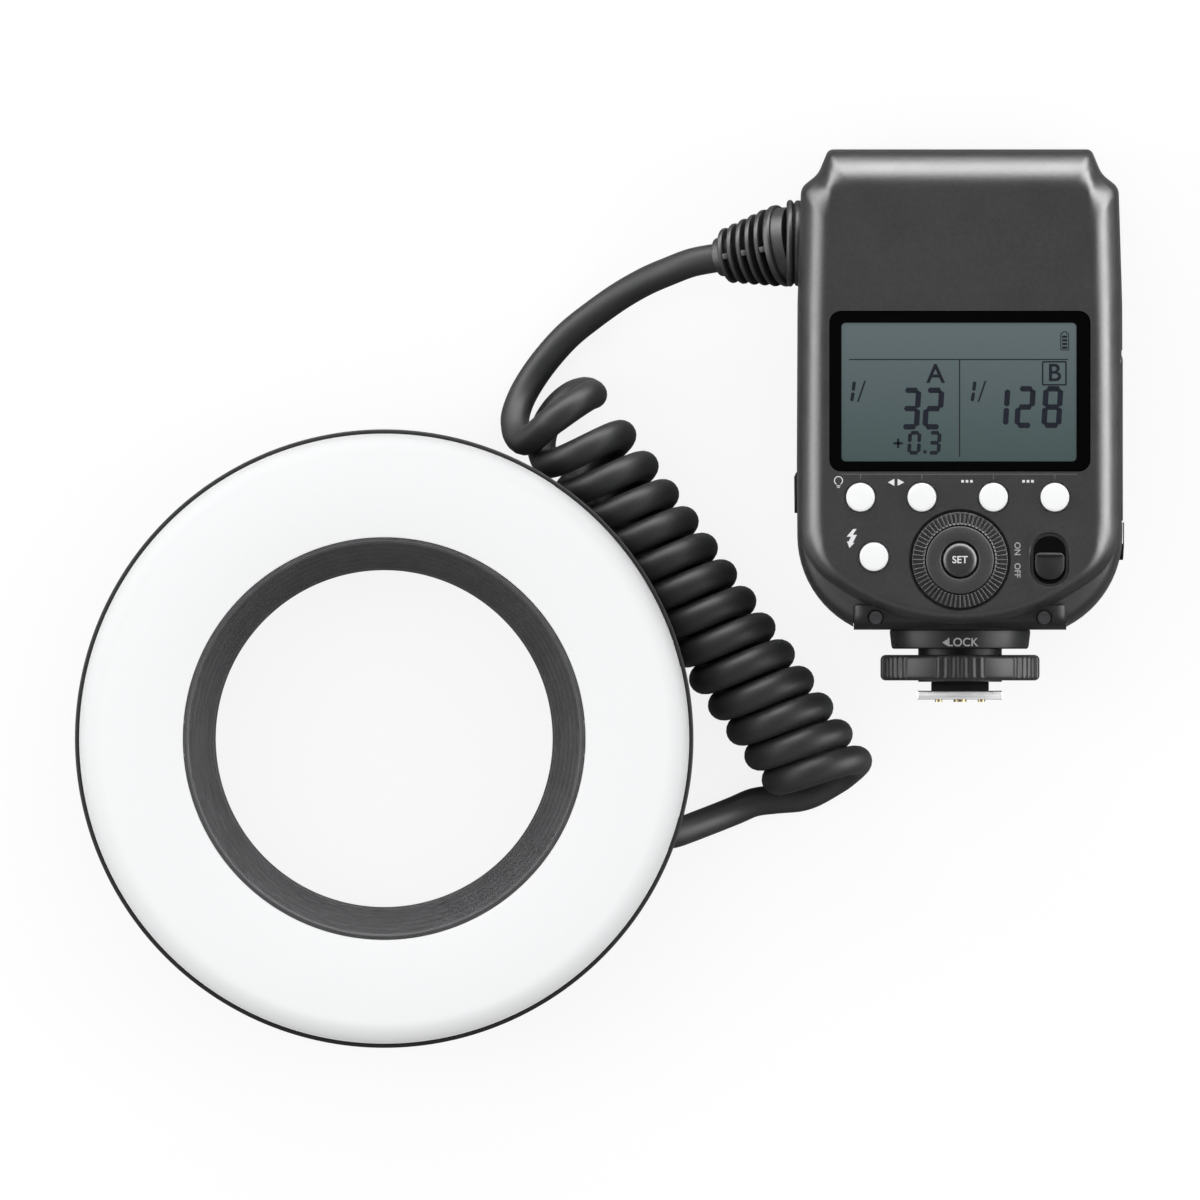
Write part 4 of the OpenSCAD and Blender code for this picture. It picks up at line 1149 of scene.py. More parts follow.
@dataclass
class RingHead:
    """The ring head: opal front, dark rim, conical bezel and the drum behind."""

    rim_r: float = 66.5
    rim_low: float = 23.4
    rim_high: float = 26.8
    front_r: float = 65.5
    top: float = 35.0
    shoulder: float = 4.3
    shell: float = 2.0
    bezel_r: float = 43.1
    bore_r: float = 36.2
    bezel_foot: float = 24.0
    seat: float = 5.0
    sleeve: float = 1.6
    steps: int = 240

    def measure(self) -> None:
        """Takes the outer sizes from the frame."""
        _, rim_high = corner_of("ring_rim_band")
        _, front_high = corner_of("ring_diffuser")
        _, bezel_high = corner_of("lens_bezel")
        self.rim_r, self.rim_high = rim_high.x, rim_high.z
        self.front_r, self.top = front_high.x, front_high.z
        self.bezel_r = bezel_high.x

    def front(self) -> None:
        """The opal front: flat ring, a full round shoulder, a skirt into the rim and a rolled inner lip."""
        s, r = self.shoulder, self.front_r
        outer = [
            (r - s + s * math.cos(math.radians(a)), self.top - s + s * math.sin(math.radians(a)))
            for a in range(0, 91, 9)
        ]
        thin = s - self.shell
        inner = [
            (r - s + thin * math.cos(math.radians(a)), self.top - s + thin * math.sin(math.radians(a)))
            for a in range(90, -1, -15)
        ]
        lip = self.bezel_r + 0.12
        profile = [
            (r - self.shell, self.rim_low + 0.6), (r - 0.15, self.rim_low + 0.6), (r, self.rim_low + 0.8), *outer,
            (lip + 0.5, self.top), (lip + 0.12, self.top - 0.12), (lip, self.top - 0.5),
            (lip, self.top - self.shell), *inner,
        ]
        dressed("opal_front", turned(profile, self.steps), OPAL, Body.RING, ["ring_diffuser"], 40)

    def rim(self) -> None:
        """The thin dark band round the front, with rounded corners and a parting groove."""
        low, high, r, r0 = self.rim_low, self.rim_high, self.rim_r, self.front_r + 0.06
        mid = (low + high) / 2
        profile = [
            (r0, low), (r - 0.5, low), (r - 0.15, low + 0.12), (r, low + 0.45),
            (r, mid - 0.2), (r - 0.25, mid - 0.05), (r - 0.25, mid + 0.05), (r, mid + 0.2),
            (r, high - 0.4), (r - 0.1, high - 0.12), (r - 0.32, high), (r0, high),
        ]
        dressed("rim_band", turned(profile, self.steps), SOFT, Body.RING, ["ring_rim_band"])

    def bezel(self) -> None:
        """The cone between the front and the bore: a rolled lip, turned steps and a plain sleeve."""
        top, foot, b, r = self.top, self.bezel_foot, self.bore_r, self.bezel_r
        steps = 22
        cone = []
        for i in range(steps):
            u, v = i / steps, (i + 0.72) / steps
            for w, dip in ((u, 0.0), (v, 0.0), (v + 0.04 / steps, 0.13)):
                radius = r - 1.0 + (b + 0.5 - (r - 1.0)) * w
                cone.append((radius + dip, top - 0.15 + (foot + 0.6 - top) * w - dip))
        profile = [
            (b, self.seat), (b + self.sleeve, self.seat), (b + self.sleeve, foot - 0.6),
            (r - 0.4, top - self.shell),
            (r, top - self.shell), (r, top - 0.25), (r - 0.12, top - 0.06), (r - 0.35, top), (r - 0.7, top), *cone,
            (b + 0.15, foot + 0.35), (b, foot - 0.2), (b, foot - 2.0), (b + 0.25, foot - 2.2),
            (b + 0.25, foot - 2.7), (b, foot - 2.9),
        ]
        dressed("bezel_cone", turned(profile, self.steps), BEZEL, Body.RING, ["lens_bezel"], 20)

    def build(self) -> None:
        """Makes the three turned pieces."""
        self.measure()
        self.front()
        self.rim()
        self.bezel()


# Control unit


@dataclass
class Housing:
    """The two covers of the control unit, hollow, with every opening that its parts need."""

    x: float = 123.8
    y: float = 23.2
    half: float = 35.4
    tall: float = 103.5
    part: float = 24.0
    face: float = 50.0
    wall: float = 1.8
    steps: int = 12
    roll: float = 4.4
    roll_power: float = 2.3
    seam: float = 22.9
    base_top: float = 5.4
    window: tuple[float, float, float] = (56.2, 34.6, 51.5)
    keys: tuple[Flat, ...] = ((-21.4, 28.7), (-8.2, 28.7), (7.2, 28.7), (20.4, 28.7), (-18.5, 15.9))
    key_r: float = 3.42
    dial: Flat = (0.0, 15.2)
    dial_r: float = 10.7
    hub_r: float = 9.0
    switch: Flat = (19.3, 15.2)
    switch_size: Flat = (8.7, 12.0)
    boot_at: Flat = (83.3, 25.0)
    boot_r: float = 7.55
    screws: tuple[Flat, ...] = ((-27.5, 12), (27.5, 10), (-27.5, 93), (27.5, 93))
    plate_screw: Flat = (18.1, 2.6)
    gap: float = 0.3
    latch_travel: float = 1.8
    over: float = 2.0
    hub: float = 50.0
    ray_gap: float = 0.0022
    feet: dict[str, tuple[float, float, float]] = field(
        default_factory=lambda: {"widest": (0.0, 0.1, 60.0), "panel": (0.0, -8.4, 46.0), "flat": (0.0, -6.6, 42.0)}
    )
    rays: list[float] = field(default_factory=list)
    reach: dict[str, list[float]] = field(default_factory=dict)

    def measure(self) -> None:
        """Takes the outer sizes from the frame."""
        low, high = corner_of("front_cover")
        self.x, self.face, self.part = (low.x + high.x) / 2, high.z, low.z
        self.half = (high.x - low.x) / 2
        self.prepare()

    def widest(self) -> list[tuple[float, float, float]]:
        """Corners of the right half of the widest outline, with the hollow above the shoulder."""
        h, t = self.half, self.tall
        return [
            (22.1, 0.42, 2.0), (h - 0.5, 7.0, 22.0), (h - 0.3, t * 0.35, 90), (h - 0.45, t * 0.68, 90),
            (h - 1.2, t - 8.2, 3.2), (h - 4.9, t - 5.3, 5.5), (h - 7.1, t, 1.6),
        ]

    def panel(self) -> list[tuple[float, float, float]]:
        """Corners of the right half of the panel's outer edge, with its bowed foot."""
        h, t = self.half, self.tall
        return [
            (h - 1.25, 14.6, 14.0), (h - 1.15, t * 0.35, 90), (h - 1.4, t * 0.68, 90), (h - 2.0, t - 9.0, 3.0),
            (h - 5.5, t - 6.0, 5.5), (h - 7.5, t - 1.3, 1.5),
        ]

    def flat(self) -> list[tuple[float, float, float]]:
        """Corners of the right half of the flat face's edge."""
        h, t = self.half, self.tall
        return [
            (h - 6.6, 15.4, 9.0), (h - 6.8, t * 0.35, 90), (h - 6.9, t * 0.6, 90), (h - 7.6, t - 15.0, 60.0),
            (h - 8.2, t - 8.8, 1.6),
        ]

    def outlines(self) -> dict[str, list[Flat]]:
        """The three outlines, each from its own corners."""
        halves = {"widest": self.widest(), "panel": self.panel(), "flat": self.flat()}
        return {
            name: rounded([self.feet[name], *half, *mirrored(half)], self.steps) for name, half in halves.items()
        }

    def cast(self, outline: Sequence[Flat], way: float) -> float:
        """How far an outline lies from the hub in one direction."""
        dx, dy = math.cos(way), math.sin(way)
        for i, b in enumerate(outline):
            a = outline[i - 1]
            ax, ay, ex, ey = a[0], a[1] - self.hub, b[0] - a[0], b[1] - a[1]
            cross = dx * ey - dy * ex
            if abs(cross) > 1e-9:
                u = (dy * ax - dx * ay) / cross
                reach = (ax * ey - ay * ex) / cross
                if -1e-6 <= u <= 1 + 1e-6 and reach > 0:
                    return reach
        raise ValueError("the outline doesn't go round its hub")

    def prepare(self) -> None:
        """Casts the three outlines along the same rays, so that they can be lofted."""
        made = self.outlines()
        ways = sorted(math.atan2(y - self.hub, x) for outline in made.values() for x, y in outline)
        kept = [ways[0]]
        for way in ways:
            if way - kept[-1] > self.ray_gap:
                kept.append(way)
        self.rays = kept
        self.reach = {name: [self.cast(outline, way) for way in kept] for name, outline in made.items()}

    def outline(self, low: str, high: str, share: float, by: float = 0.0) -> list[Flat]:
        """The outline between two others, moved in by a distance.

        Args:
            low: The outline at 0.
            high: The outline at 1.
            share: Where between them.
            by: How far it is moved in.

        Returns:
            Its points, one on each ray.
        """
        made = []
        for way, a, b in zip(self.rays, self.reach[low], self.reach[high]):
            r = a + (b - a) * share - by
            made.append((r * math.cos(way), self.hub + r * math.sin(way)))
        return made

    def at(self, bm: bmesh.types.BMesh) -> bmesh.types.BMesh:
        """Moves a mesh from the unit's own coordinates to the row frame."""
        return moved(bm, (self.x, self.y, 0.0))

    def openings(self) -> list[bmesh.types.BMesh]:
        """Cutters for what both covers leave open: door, latch, socket and strain relief."""
        h, shift, gap = self.half, Vector((self.x, self.y, 0)), self.gap
        door_low, door_high = (v - shift for v in corner_of("battery_door"))
        flap_low, flap_high = (v - shift for v in corner_of("socket_cover"))
        latch_low, latch_high = (v - shift for v in corner_of("battery_latch"))
        latch_y, pin_y, socket = latch_low.y, flap_high.y, 1.2
        return [
            block((h - 3.8, door_low.y - gap, door_low.z - gap), (h + 3, door_high.y + gap, door_high.z + gap), 0),
            block((h - 2.8, latch_y + 1.7, 23.2), (h + 1, latch_y + 6.1, 26.8), 0),
            block((h - 1.4, latch_y - gap, latch_low.z - 0.2), (h + 1, door_low.y + 0.1, latch_high.z + 0.2), 0),
            block(
                (-h - 1, flap_low.y + socket, flap_low.z + socket), (-h + 2.8, pin_y - 2.0, flap_high.z - socket), 0
            ),
            block((-h - 1, pin_y - 2.3, flap_low.z - gap), (-h + 1.4, pin_y + 0.6, flap_high.z + gap), 0),
            moved(rod(self.boot_r, -3.0, 4.0, 48, Axis.X), (-h, *self.boot_at)),
        ]

    def front_levels(self) -> list[tuple[float, list[Flat]]]:
        """The front cover's outer levels: side, waist below the panel, and the panel's roll into the face."""
        face, edge = self.face, self.face - self.roll
        levels = [(z, self.outline("widest", "panel", 0.0)) for z in (self.part, face - 14)]
        for height, share in ((7.5, 0.03), (4.5, 0.12), (2.6, 0.28), (1.4, 0.48), (0.6, 0.74), (0.2, 0.92)):
            levels.append((edge - height, self.outline("widest", "panel", share)))
        levels.append((edge, self.outline("panel", "flat", 0.0)))
        for i in range(1, 16):
            share = i / 16
            rise = 1 - (1 - share) ** self.roll_power
            levels.append((edge + self.roll * rise, self.outline("panel", "flat", share)))
        return [*levels, (face, self.outline("panel", "flat", 1.0))]

    def front(self) -> None:
        """The front cover with its window, key holes, dial well, switch recess and a notch at its foot."""
        w, h, wy = self.window
        face = self.face
        inside, over = face - 6, face + self.over
        cavity = stack(
            [
                (self.part - 1, self.outline("widest", "panel", 0.0, self.wall)),
                (face - 13.0, self.outline("widest", "panel", 0.0, self.wall + 0.2)),
                (face - 6.5, self.outline("widest", "panel", 1.0, self.wall)),
                (face - 3.3, self.outline("panel", "flat", 0.45, self.wall + 0.9)),
            ]
        )
        cutters = [cavity, *self.openings()]
        cutters.append(pocket([(face - 1.35, w, h, 2.5), (over, w, h, 2.5)], (0, wy)))
        cutters.append(pocket([(inside, w - 3, h - 3, 1.5), (face - 1, w - 3, h - 3, 1.5)], (0, wy)))
        r = self.key_r
        hole = [(inside, r), (face - 0.12, r), (face + 0.02, r + 0.2), (over, r + 0.6)]
        cutters += [column(hole, at, 40) for at in self.keys]
        r = self.dial_r
        cutters.append(column([(face - 2.8, r), (face - 0.35, r), (face - 0.02, r + 0.3), (over, r + 1)],
            self.dial, 96))
        cutters.append(column([(inside, self.hub_r), (face - 2, self.hub_r)], self.dial, 72))
        sw, sh = self.switch_size
        recess = [(face - 1.2, -0.35), (face - 0.22, -0.2), (face + 0.02, 0.02), (over, 0.6)]
        cutters.append(
            pocket([(z, sw + 2 * d, sh + 2 * d, sw / 2 - 0.02 + d) for z, d in recess], self.switch, self.steps)
        )
        slot = [(z, sw - 1.7, sh - 1.7, 3.3) for z in (inside, face - 1)]
        cutters.append(pocket(slot, self.switch, 10))
        cutters.append(block((-self.seam, -2, 4), (self.seam, self.base_top, face - 3.4), 0))
        shell = carved("front_work", stack(self.front_levels()), cutters)
        dressed("front_housing", self.at(shell), FACE, Body.UNIT, ["front_cover"], 28)

    def rear(self) -> None:
        """The rear cover with its rounded back."""
        back = [
            (0, 5.0), (0.25, 3.9), (0.9, 2.7), (2.0, 1.6), (3.6, 0.8), (6.0, 0.3), (10.0, 0.0),
            (self.part - 0.35, 0.0), (self.part - 0.05, 0.3),
        ]
        cavity = stack(
            [
                (self.wall, self.outline("widest", "panel", 0.0, 6.5)),
                (3.6, self.outline("widest", "panel", 0.0, 3.4)),
                (10.0, self.outline("widest", "panel", 0.0, self.wall)),
                (self.part + 1, self.outline("widest", "panel", 0.0, self.wall)),
            ]
        )
        cutters = [cavity, *self.openings(), block((-self.seam, -2, 4), (self.seam, self.base_top, 60), 0)]
        cutters += [column([(-1, 1.6), (4.8, 1.6)], at) for at in self.screws]
        levels = [(z, self.outline("widest", "panel", 0.0, d)) for z, d in back]
        shell = carved("rear_work", stack(levels), cutters)
        # The rear cover takes the darker SATIN black, which paints shade into its colour
        dressed("rear_housing", self.at(shell), SATIN, Body.UNIT, ["rear_cover"], 28)

    def base(self) -> None:
        """The plate that carries the shoe, rounded towards it, with its two screw wells."""
        low, high = corner_of("base_plate")
        low, high = low - Vector((self.x, self.y, 0)), high - Vector((self.x, self.y, 0))
        y, z = low.y, high.z
        side = [
            (y + 0.4, low.z), (y, low.z + 0.4), (y, z - 6.4), (y + 0.25, z - 4.2), (y + 0.8, z - 2.3),
            (y + 1.6, z - 0.9), (y + 2.4, z - 0.25), (y + 3.2, z), (high.y, z), (high.y, low.z),
        ]
        ends = [(0.05, 1.5), (0.6, 0.8), (1.2, 0.4), (2.0, 0.15), (3.0, 0.0)]
        fall = [(low.x + d, f) for d, f in ends] + [(high.x - d, f) for d, f in reversed(ends)]
        plate = stack([(x, [(u, v - f if v > 20 else v) for u, v in side]) for x, f in fall])
        turned_by(plate, Matrix(((0, 0, 1, 0), (1, 0, 0, 0), (0, 1, 0, 0), (0, 0, 0, 1))))
        across, up = self.plate_screw
        wells = [column([(z - 1.6, 1.75), (z + 1, 1.75)], (s * across, y + up)) for s in (-1, 1)]
        made = carved("base_work", plate, wells)
        dressed("shoe_plate", self.at(made), COLLAR, Body.UNIT, ["base_plate"], 40)

    def edge(self, y: float) -> float:
        """How far the widest outline lies from the middle at a height in the unit's own coordinates."""
        best = [(abs(b - y), a) for a, b in self.outline("widest", "panel", 0.0) if a > 0]
        return min(best)[1]

    def follow(
        self, bm: bmesh.types.BMesh, way: int, places: Sequence[Point], ahead: float = 0.0
    ) -> bmesh.types.BMesh:
        """Lays a side piece along the housing's curved side.

        Args:
            bm: The piece, in the row frame.
            way: 1 for the right side, -1 for the left.
            places: Distance from the middle in the piece, how much of the side's own distance is in the new place,
                and what is added to it.
            ahead: How far the piece slides up along the side.

        Returns:
            The same mesh.
        """
        for v in bm.verts:
            out, y = (v.co.x - self.x) * way, v.co.y - self.y
            stops = [(a, share * self.edge(y + ahead) + lift) for a, share, lift in places]
            for (a, p), (b, q) in zip(stops, stops[1:]):
                if a < out <= b or (out > b and b == stops[-1][0]):
                    v.co.x = self.x + way * (p + (q - p) * (out - a) / (b - a))
                    break
        return bm

    def side_pieces(self) -> None:
        """The battery door, its latch and the socket flap, flush with the curved sides."""
        door = self.follow(softened("battery_door", 0.35), 1, [(33.0, 0, 33.0), (35.9, 1, 0.08)])
        dressed("door_panel", door, SATIN, Body.DOOR, ["battery_door"])
        body = [(33.2, 0, 33.2), (35.7, 0, 34.1), (36.2, 1, 0.1), (37.2, 1, 0.34)]
        latch = self.follow(softened("battery_latch", 0.15), 1, body, self.latch_travel)
        dressed("door_latch", latch, DARK, Body.LATCH, ["battery_latch"])
        flap = self.follow(softened("socket_cover", 0.18), -1, [(34.0, 0, 34.0), (35.5, 1, 0.02), (36.2, 1, 0.62)])
        dressed("socket_flap", flap, SATIN, Body.FLAP, ["socket_cover"])

    def build(self) -> None:
        """Makes both covers and the plate."""
        self.measure()
        self.front()
        self.rear()
        self.base()
        self.side_pieces()


@dataclass
class Display:
    """The display: gloss border, screen, and the segments that it shows."""

    unit: Flat = (123.8, 23.2)
    border: tuple[float, float, float] = (56.2, 34.6, 51.5)
    screen: tuple[float, float, float, float] = (-25.5, 25.05, 36.4, 66.2)
    top: float = 49.9
    slant: float = 0.06
    ink_z: float = 49.66

    def local(self, px: float, py: float) -> Flat:
        """A pixel of the photograph in the unit's own coordinates."""
        return (
            (px - BORE_PIXEL[0]) * PIXEL_MM - self.unit[0],
            (BORE_PIXEL[1] - py) * PIXEL_MM - self.unit[1],
        )

    def segment(self, a: Flat, b: Flat, wide: float) -> bmesh.types.BMesh:
        """One bar with pointed ends."""
        p, q = Vector(a), Vector(b)
        d = (q - p).normalized() * (wide / 2)
        n = Vector((-d.y, d.x))
        d *= 0.6
        corners = [p, p + d - n, q - d - n, q, q - d + n, p + d + n]
        return stack([(self.ink_z, [tuple(c) for c in corners]), (self.ink_z + 0.04, [tuple(c) for c in corners])])

    def figure(self, lit: str, low: Flat, size: Flat, wide: float) -> list[bmesh.types.BMesh]:
        """One seven-segment figure.

        Args:
            lit: The lit segments, from a to g.
            low: Its lower left corner.
            size: Its width and height.
            wide: Width of a bar.

        Returns:
            The bars.
        """
        w, h = size
        m = h / 2
        ends = {
            "a": ((0, h), (w, h)), "b": ((w, h), (w, m)), "c": ((w, m), (w, 0)), "d": ((0, 0), (w, 0)),
            "e": ((0, 0), (0, m)), "f": ((0, m), (0, h)), "g": ((0, m), (w, m)),
        }
        made = []
        for key in lit:
            (x0, y0), (x1, y1) = ends[key]
            d = Vector((x1 - x0, y1 - y0)).normalized() * 0.1
            points = [(low[0] + x + self.slant * y, low[1] + y) for x,
                y in ((x0 + d.x, y0 + d.y), (x1 - d.x, y1 - d.y))]
            made.append(self.segment(points[0], points[1], wide))
        return made

    def line(self, a: Flat, b: Flat, wide: float) -> bmesh.types.BMesh:
        """A thin straight line."""
        p, q = Vector(a), Vector(b)
        n = Vector((-(q - p).y, (q - p).x)).normalized() * (wide / 2)
        corners = [tuple(p - n), tuple(q - n), tuple(q + n), tuple(p + n)]
        return stack([(self.ink_z, corners), (self.ink_z + 0.04, corners)])

    def bars(self) -> list[bmesh.types.BMesh]:
        """All that the screen shows: two groups with a fraction each, a correction and a charge mark."""
        figures = {"0": "abcdef", "1": "bc", "2": "abged", "3": "abgcd", "8": "abcdefg"}
        made = []
        rows = [
            ("3", (902.5, 427.0), (14.0, 36.5), 1.15), ("2", (925.0, 427.0), (14.5, 36.5), 1.15),
            ("1", (1005.0, 425.5), (0.5, 36.5), 1.15), ("2", (1017.0, 425.5), (14.0, 36.5), 1.15),
            ("8", (1044.0, 425.5), (14.5, 36.5), 1.15),
            ("0", (909.0, 453.0), (9.5, 20.0), 0.8), ("3", (929.0, 453.0), (9.5, 20.0), 0.8),
        ]
        for digit, (px, py), (w, h), wide in rows:
            low = self.local(px, py)
            size = (w * PIXEL_MM, h * PIXEL_MM)
            made += self.figure(figures[digit], low, size, wide)
        for px in (855.8, 976.3):
            x, y = self.local(px, 401.5)
            h = 20 * PIXEL_MM
            made.append(self.segment((x - 0.9, y), (x - 0.9 + h * 0.08, y + h * 0.45), 0.7))
            made.append(self.segment((x - 0.9 + h * 0.08, y + h * 0.52), (x - 0.9 + h * 0.14, y + h), 0.7))
            made.append(self.line((x + 0.45, y - 0.1), (x + 2.0, y + h + 0.1), 0.34))
        plus = self.local(898.2, 443.5)
        made.append(self.line((plus[0] - 1.0, plus[1]), (plus[0] + 1.0, plus[1]), 0.5))
        made.append(self.line((plus[0], plus[1] - 1.0), (plus[0], plus[1] + 1.0), 0.5))
        dot = self.local(925.0, 452.0)
        made.append(self.line((dot[0] - 0.35, dot[1]), (dot[0] + 0.35, dot[1]), 0.7))
        a, b = self.local(849.0, 359.7), self.local(1068.0, 359.7)
        made.append(self.line(a, b, 0.22))
        c, d = self.local(959.6, 359.7), self.local(959.6, 457.0)
        made.append(self.line(c, d, 0.22))
        left, top = self.local(1042.7, 362.0)
        right, low = self.local(1066.0, 385.0)
        for p, q in (((left, top), (right, top)), ((right, top), (right, low)), ((right, low), (left, low)),
            ((left, low), (left, top))):
            made.append(self.line(p, q, 0.3))
        bx, by = self.local(1064.7, 341.5)
        for k in range(4):
            made.append(self.line((bx - 0.55, by - 1.35 + 0.78 * k), (bx + 0.55, by - 1.35 + 0.78 * k), 0.5))
        outline = ((-0.85, -1.85), (0.85, -1.85), (0.85, 1.7), (0.4, 1.7), (0.4, 2.05), (-0.4, 2.05),
            (-0.4, 1.7), (-0.85, 1.7))
        for i, (x, y) in enumerate(outline):
            u, v = outline[i - 1]
            made.append(self.line((bx + u, by + v), (bx + x, by + y), 0.16))
        return made

    def letters(self) -> list[bmesh.types.BMesh]:
        """The two group letters."""
        return [
            lettering("A", 18.5 * PIXEL_MM, self.local(935.6, 374.7), self.ink_z, 0.0, 0.04),
            lettering("B", 17.0 * PIXEL_MM, self.local(1054.4, 373.7), self.ink_z, 0.0, 0.04),
        ]

    def build(self) -> None:
        """Makes the border, the screen and the segments."""
        low, high = corner_of("lcd_window")
        middle = ((low.x + high.x) / 2, (low.y + high.y) / 2)
        w, h = high.x - low.x, high.y - low.y
        x0, x1, y0, y1 = self.screen
        unit_x, unit_y = self.unit
        screen_at = (unit_x + (x0 + x1) / 2, unit_y + (y0 + y1) / 2)
        sw, sh = x1 - x0, y1 - y0
        plate = stack(
            [
                (low.z, rectangle(w, h, 2.4, middle)), (high.z - 0.25, rectangle(w, h, 2.4, middle)),
                (high.z, rectangle(w - 0.5, h - 0.5, 2.2, middle)),
            ]
        )
        hole = [
            stack(
                [
                    (high.z - 0.6, rectangle(sw, sh, 0.9, screen_at)),
                    (high.z - 0.1, rectangle(sw + 0.1, sh + 0.1, 0.9, screen_at)),
                    (high.z + 1, rectangle(sw + 0.9, sh + 0.9, 1.2, screen_at)),
                ]
            )
        ]
        border = carved("border_work", plate, hole)
        dressed("window_border", border, WINDOW, Body.UNIT, ["lcd_window"])
        glass = stack([(high.z - 0.62, rectangle(sw, sh, 0.9, screen_at)),
            (self.ink_z, rectangle(sw - 0.02, sh - 0.02, 0.9, screen_at))])
        shown = Screen("display_screen", y_low=(screen_at[1] - sh / 2) * MM, y_high=(screen_at[1] + sh / 2) * MM)
        dressed("screen_glass", glass, shown, Body.UNIT)
        marks = moved(joined(self.bars() + self.letters()), (unit_x, unit_y, 0.0))
        dressed("screen_segments", marks, SEGMENT, Body.UNIT, (), 60)


@dataclass
class Controls:
    """Keys, dial, set key, power switch and the marks printed round them."""

    unit: Flat = (123.8, 23.2)
    face: float = 50.0
    keys: dict[str, str] = field(
        default_factory=lambda: {
            "key_lamp": "lamp_key", "key_mode": "mode_key", "key_custom": "custom_key",
            "key_ratio": "ratio_key", "key_test": "test_key",
        }
    )
    rib_count: int = 60
    line_y: float = 33.65

    def key(self, node: str, body: str) -> None:
        """A white key: flange, straight side, rolled edge and a crown of a few hundredths."""
        low, high = corner_of(node)
        x, y = (low.x + high.x) / 2, (low.y + high.y) / 2
        r, top = (high.x - low.x) / 2 - 0.57, high.z - 0.1
        profile = [
            (0.0, low.z), (r + 0.57, low.z), (r + 0.57, low.z + 0.8), (r, low.z + 0.8), (r, top - 0.5),
            (r - 0.06, top - 0.3),
            (r - 0.2, top - 0.12), (r - 0.45, top - 0.02), (r - 0.8, top + 0.02), (r * 0.45, top + 0.07),
            (0.0, top + 0.09),
        ]
        made = new_object(f"{body}_cap", moved(turned(profile, 64), (x, y, 0.0)))
        smooth(made, 40)
        made.data.materials.append(KEY.material())
        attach(made, body)
        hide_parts(node)
        LOG.info("%s: white key", made.name)

    def dial(self) -> None:
        """The dial: a ring whose slope carries fine ribs, round a still cap."""
        low, high = corner_of("select_dial")
        x, y, r = (low.x + high.x) / 2, (low.y + high.y) / 2, (high.x - low.x) / 2
        cap_low, cap_high = corner_of("dial_cap")
        cap_r = (cap_high.x - cap_low.x) / 2
        inner, top = cap_r + 0.15, high.z - 0.3
        base = self.face - 2.4
        profile = [
            (inner, low.z), (inner + 1.1, low.z), (inner + 1.1, base), (r - 0.1, base), (r, base + 0.2),
            (r, self.face - 0.4),
            (r - 0.12, self.face - 0.25), (r - 0.3, self.face - 0.1), (inner + 0.5, top - 0.75),
            (inner + 0.2, top - 0.5),
            (inner + 0.05, top - 0.5), (inner, top - 0.6),
        ]
        parts = [turned(profile, 120)]
        inner_rib, outer_rib = inner + 0.1, r - 0.08
        fall = math.atan2((top - 0.4) - (self.face + 0.12), outer_rib - inner_rib)
        for k in range(self.rib_count):
            rib = block((inner_rib, -0.2, -0.45), (outer_rib, 0.2, 0.24), 0.12, 1)
            tilt = (
                Matrix.Rotation(2 * math.pi * k / self.rib_count, 4, "Z")
                @ Matrix.Translation((inner_rib, 0, top - 0.34))
                @ Matrix.Rotation(fall, 4, "Y")
                @ Matrix.Translation((-inner_rib, 0, 0))
            )
            parts.append(turned_by(rib, tilt))
        ring = moved(joined(parts), (x, y, 0.0))
        dressed("dial_ring", ring, DIAL, Body.DIAL, ["select_dial"])
        set_low, set_high = corner_of("set_key")
        set_r = (set_high.x - set_low.x) / 2
        hole = set_r + 0.3
        cap = [
            (hole, cap_low.z), (cap_r, cap_low.z), (cap_r, cap_high.z - 0.3), (cap_r - 0.08, cap_high.z - 0.1),
            (cap_r - 0.3, cap_high.z), (hole + 0.35, cap_high.z), (hole + 0.1, cap_high.z - 0.1),
            (hole, cap_high.z - 0.35),
        ]
        dressed("dial_centre", moved(turned(cap, 120), (x, y, 0.0)), DISC, Body.UNIT, ["dial_cap"])
        key = [
            (0.0, set_low.z), (set_r, set_low.z), (set_r, set_high.z - 1.0), (set_r - 0.08, set_high.z - 0.72),
            (set_r - 0.3, set_high.z - 0.42), (set_r - 0.7, set_high.z - 0.2), (set_r - 1.2, set_high.z - 0.1),
            (set_r - 1.8, set_high.z - 0.07), (0.0, set_high.z - 0.07),
        ]
        dressed("set_cap", moved(turned(key, 96), (x, y, 0.0)), CONTROL, Body.SET, ["set_key"])
        word = lettering("SET", 1.5, (x, y), set_high.z - 0.06, 0.0, 0.06)
        dressed("set_word", word, PRINT, Body.SET, (), 60)

    def power(self) -> None:
        """The power knob: a rounded slider with a raised thumb ridge, over its dark slot."""
        low, high = corner_of("power_switch")
        x, y = (low.x + high.x) / 2, (low.y + high.y) / 2
        w, h = high.x - low.x, high.y - low.y
        body_top, half = high.z - 0.5, w / 2
        low_y, high_y = low.y - 0.4, high.y + 0.4
        levels = [
            (self.face - 0.9, 0.0), (body_top - 0.35, 0.0), (body_top - 0.12, -0.08), (body_top, -0.3),
        ]
        knob = stack(
            [
                (
                    z,
                    rounded(
                        [
                            (x + half + d, low_y - d, 2.9 + d), (x + half + d, high_y + d, 1.1 + d / 3),
                            (x - half - d, high_y + d, 1.1 + d / 3), (x - half - d, low_y - d, 2.9 + d),
                        ],
                        8,
                    ),
                )
                for z, d in levels
            ]
        )
        ridge = block((x - half + 0.35, high_y - 0.75, body_top - 0.6), (x + half - 0.35, high_y - 0.2, high.z),
            0.2, 3)
        stem = block((x - 1.6, y - 1.6, low.z), (x + 1.6, y + 1.6, self.face - 0.7), 0.1)
        dressed("power_knob_cap", joined([knob, stem, ridge]), SOFT, Body.POWER, ["power_switch"])

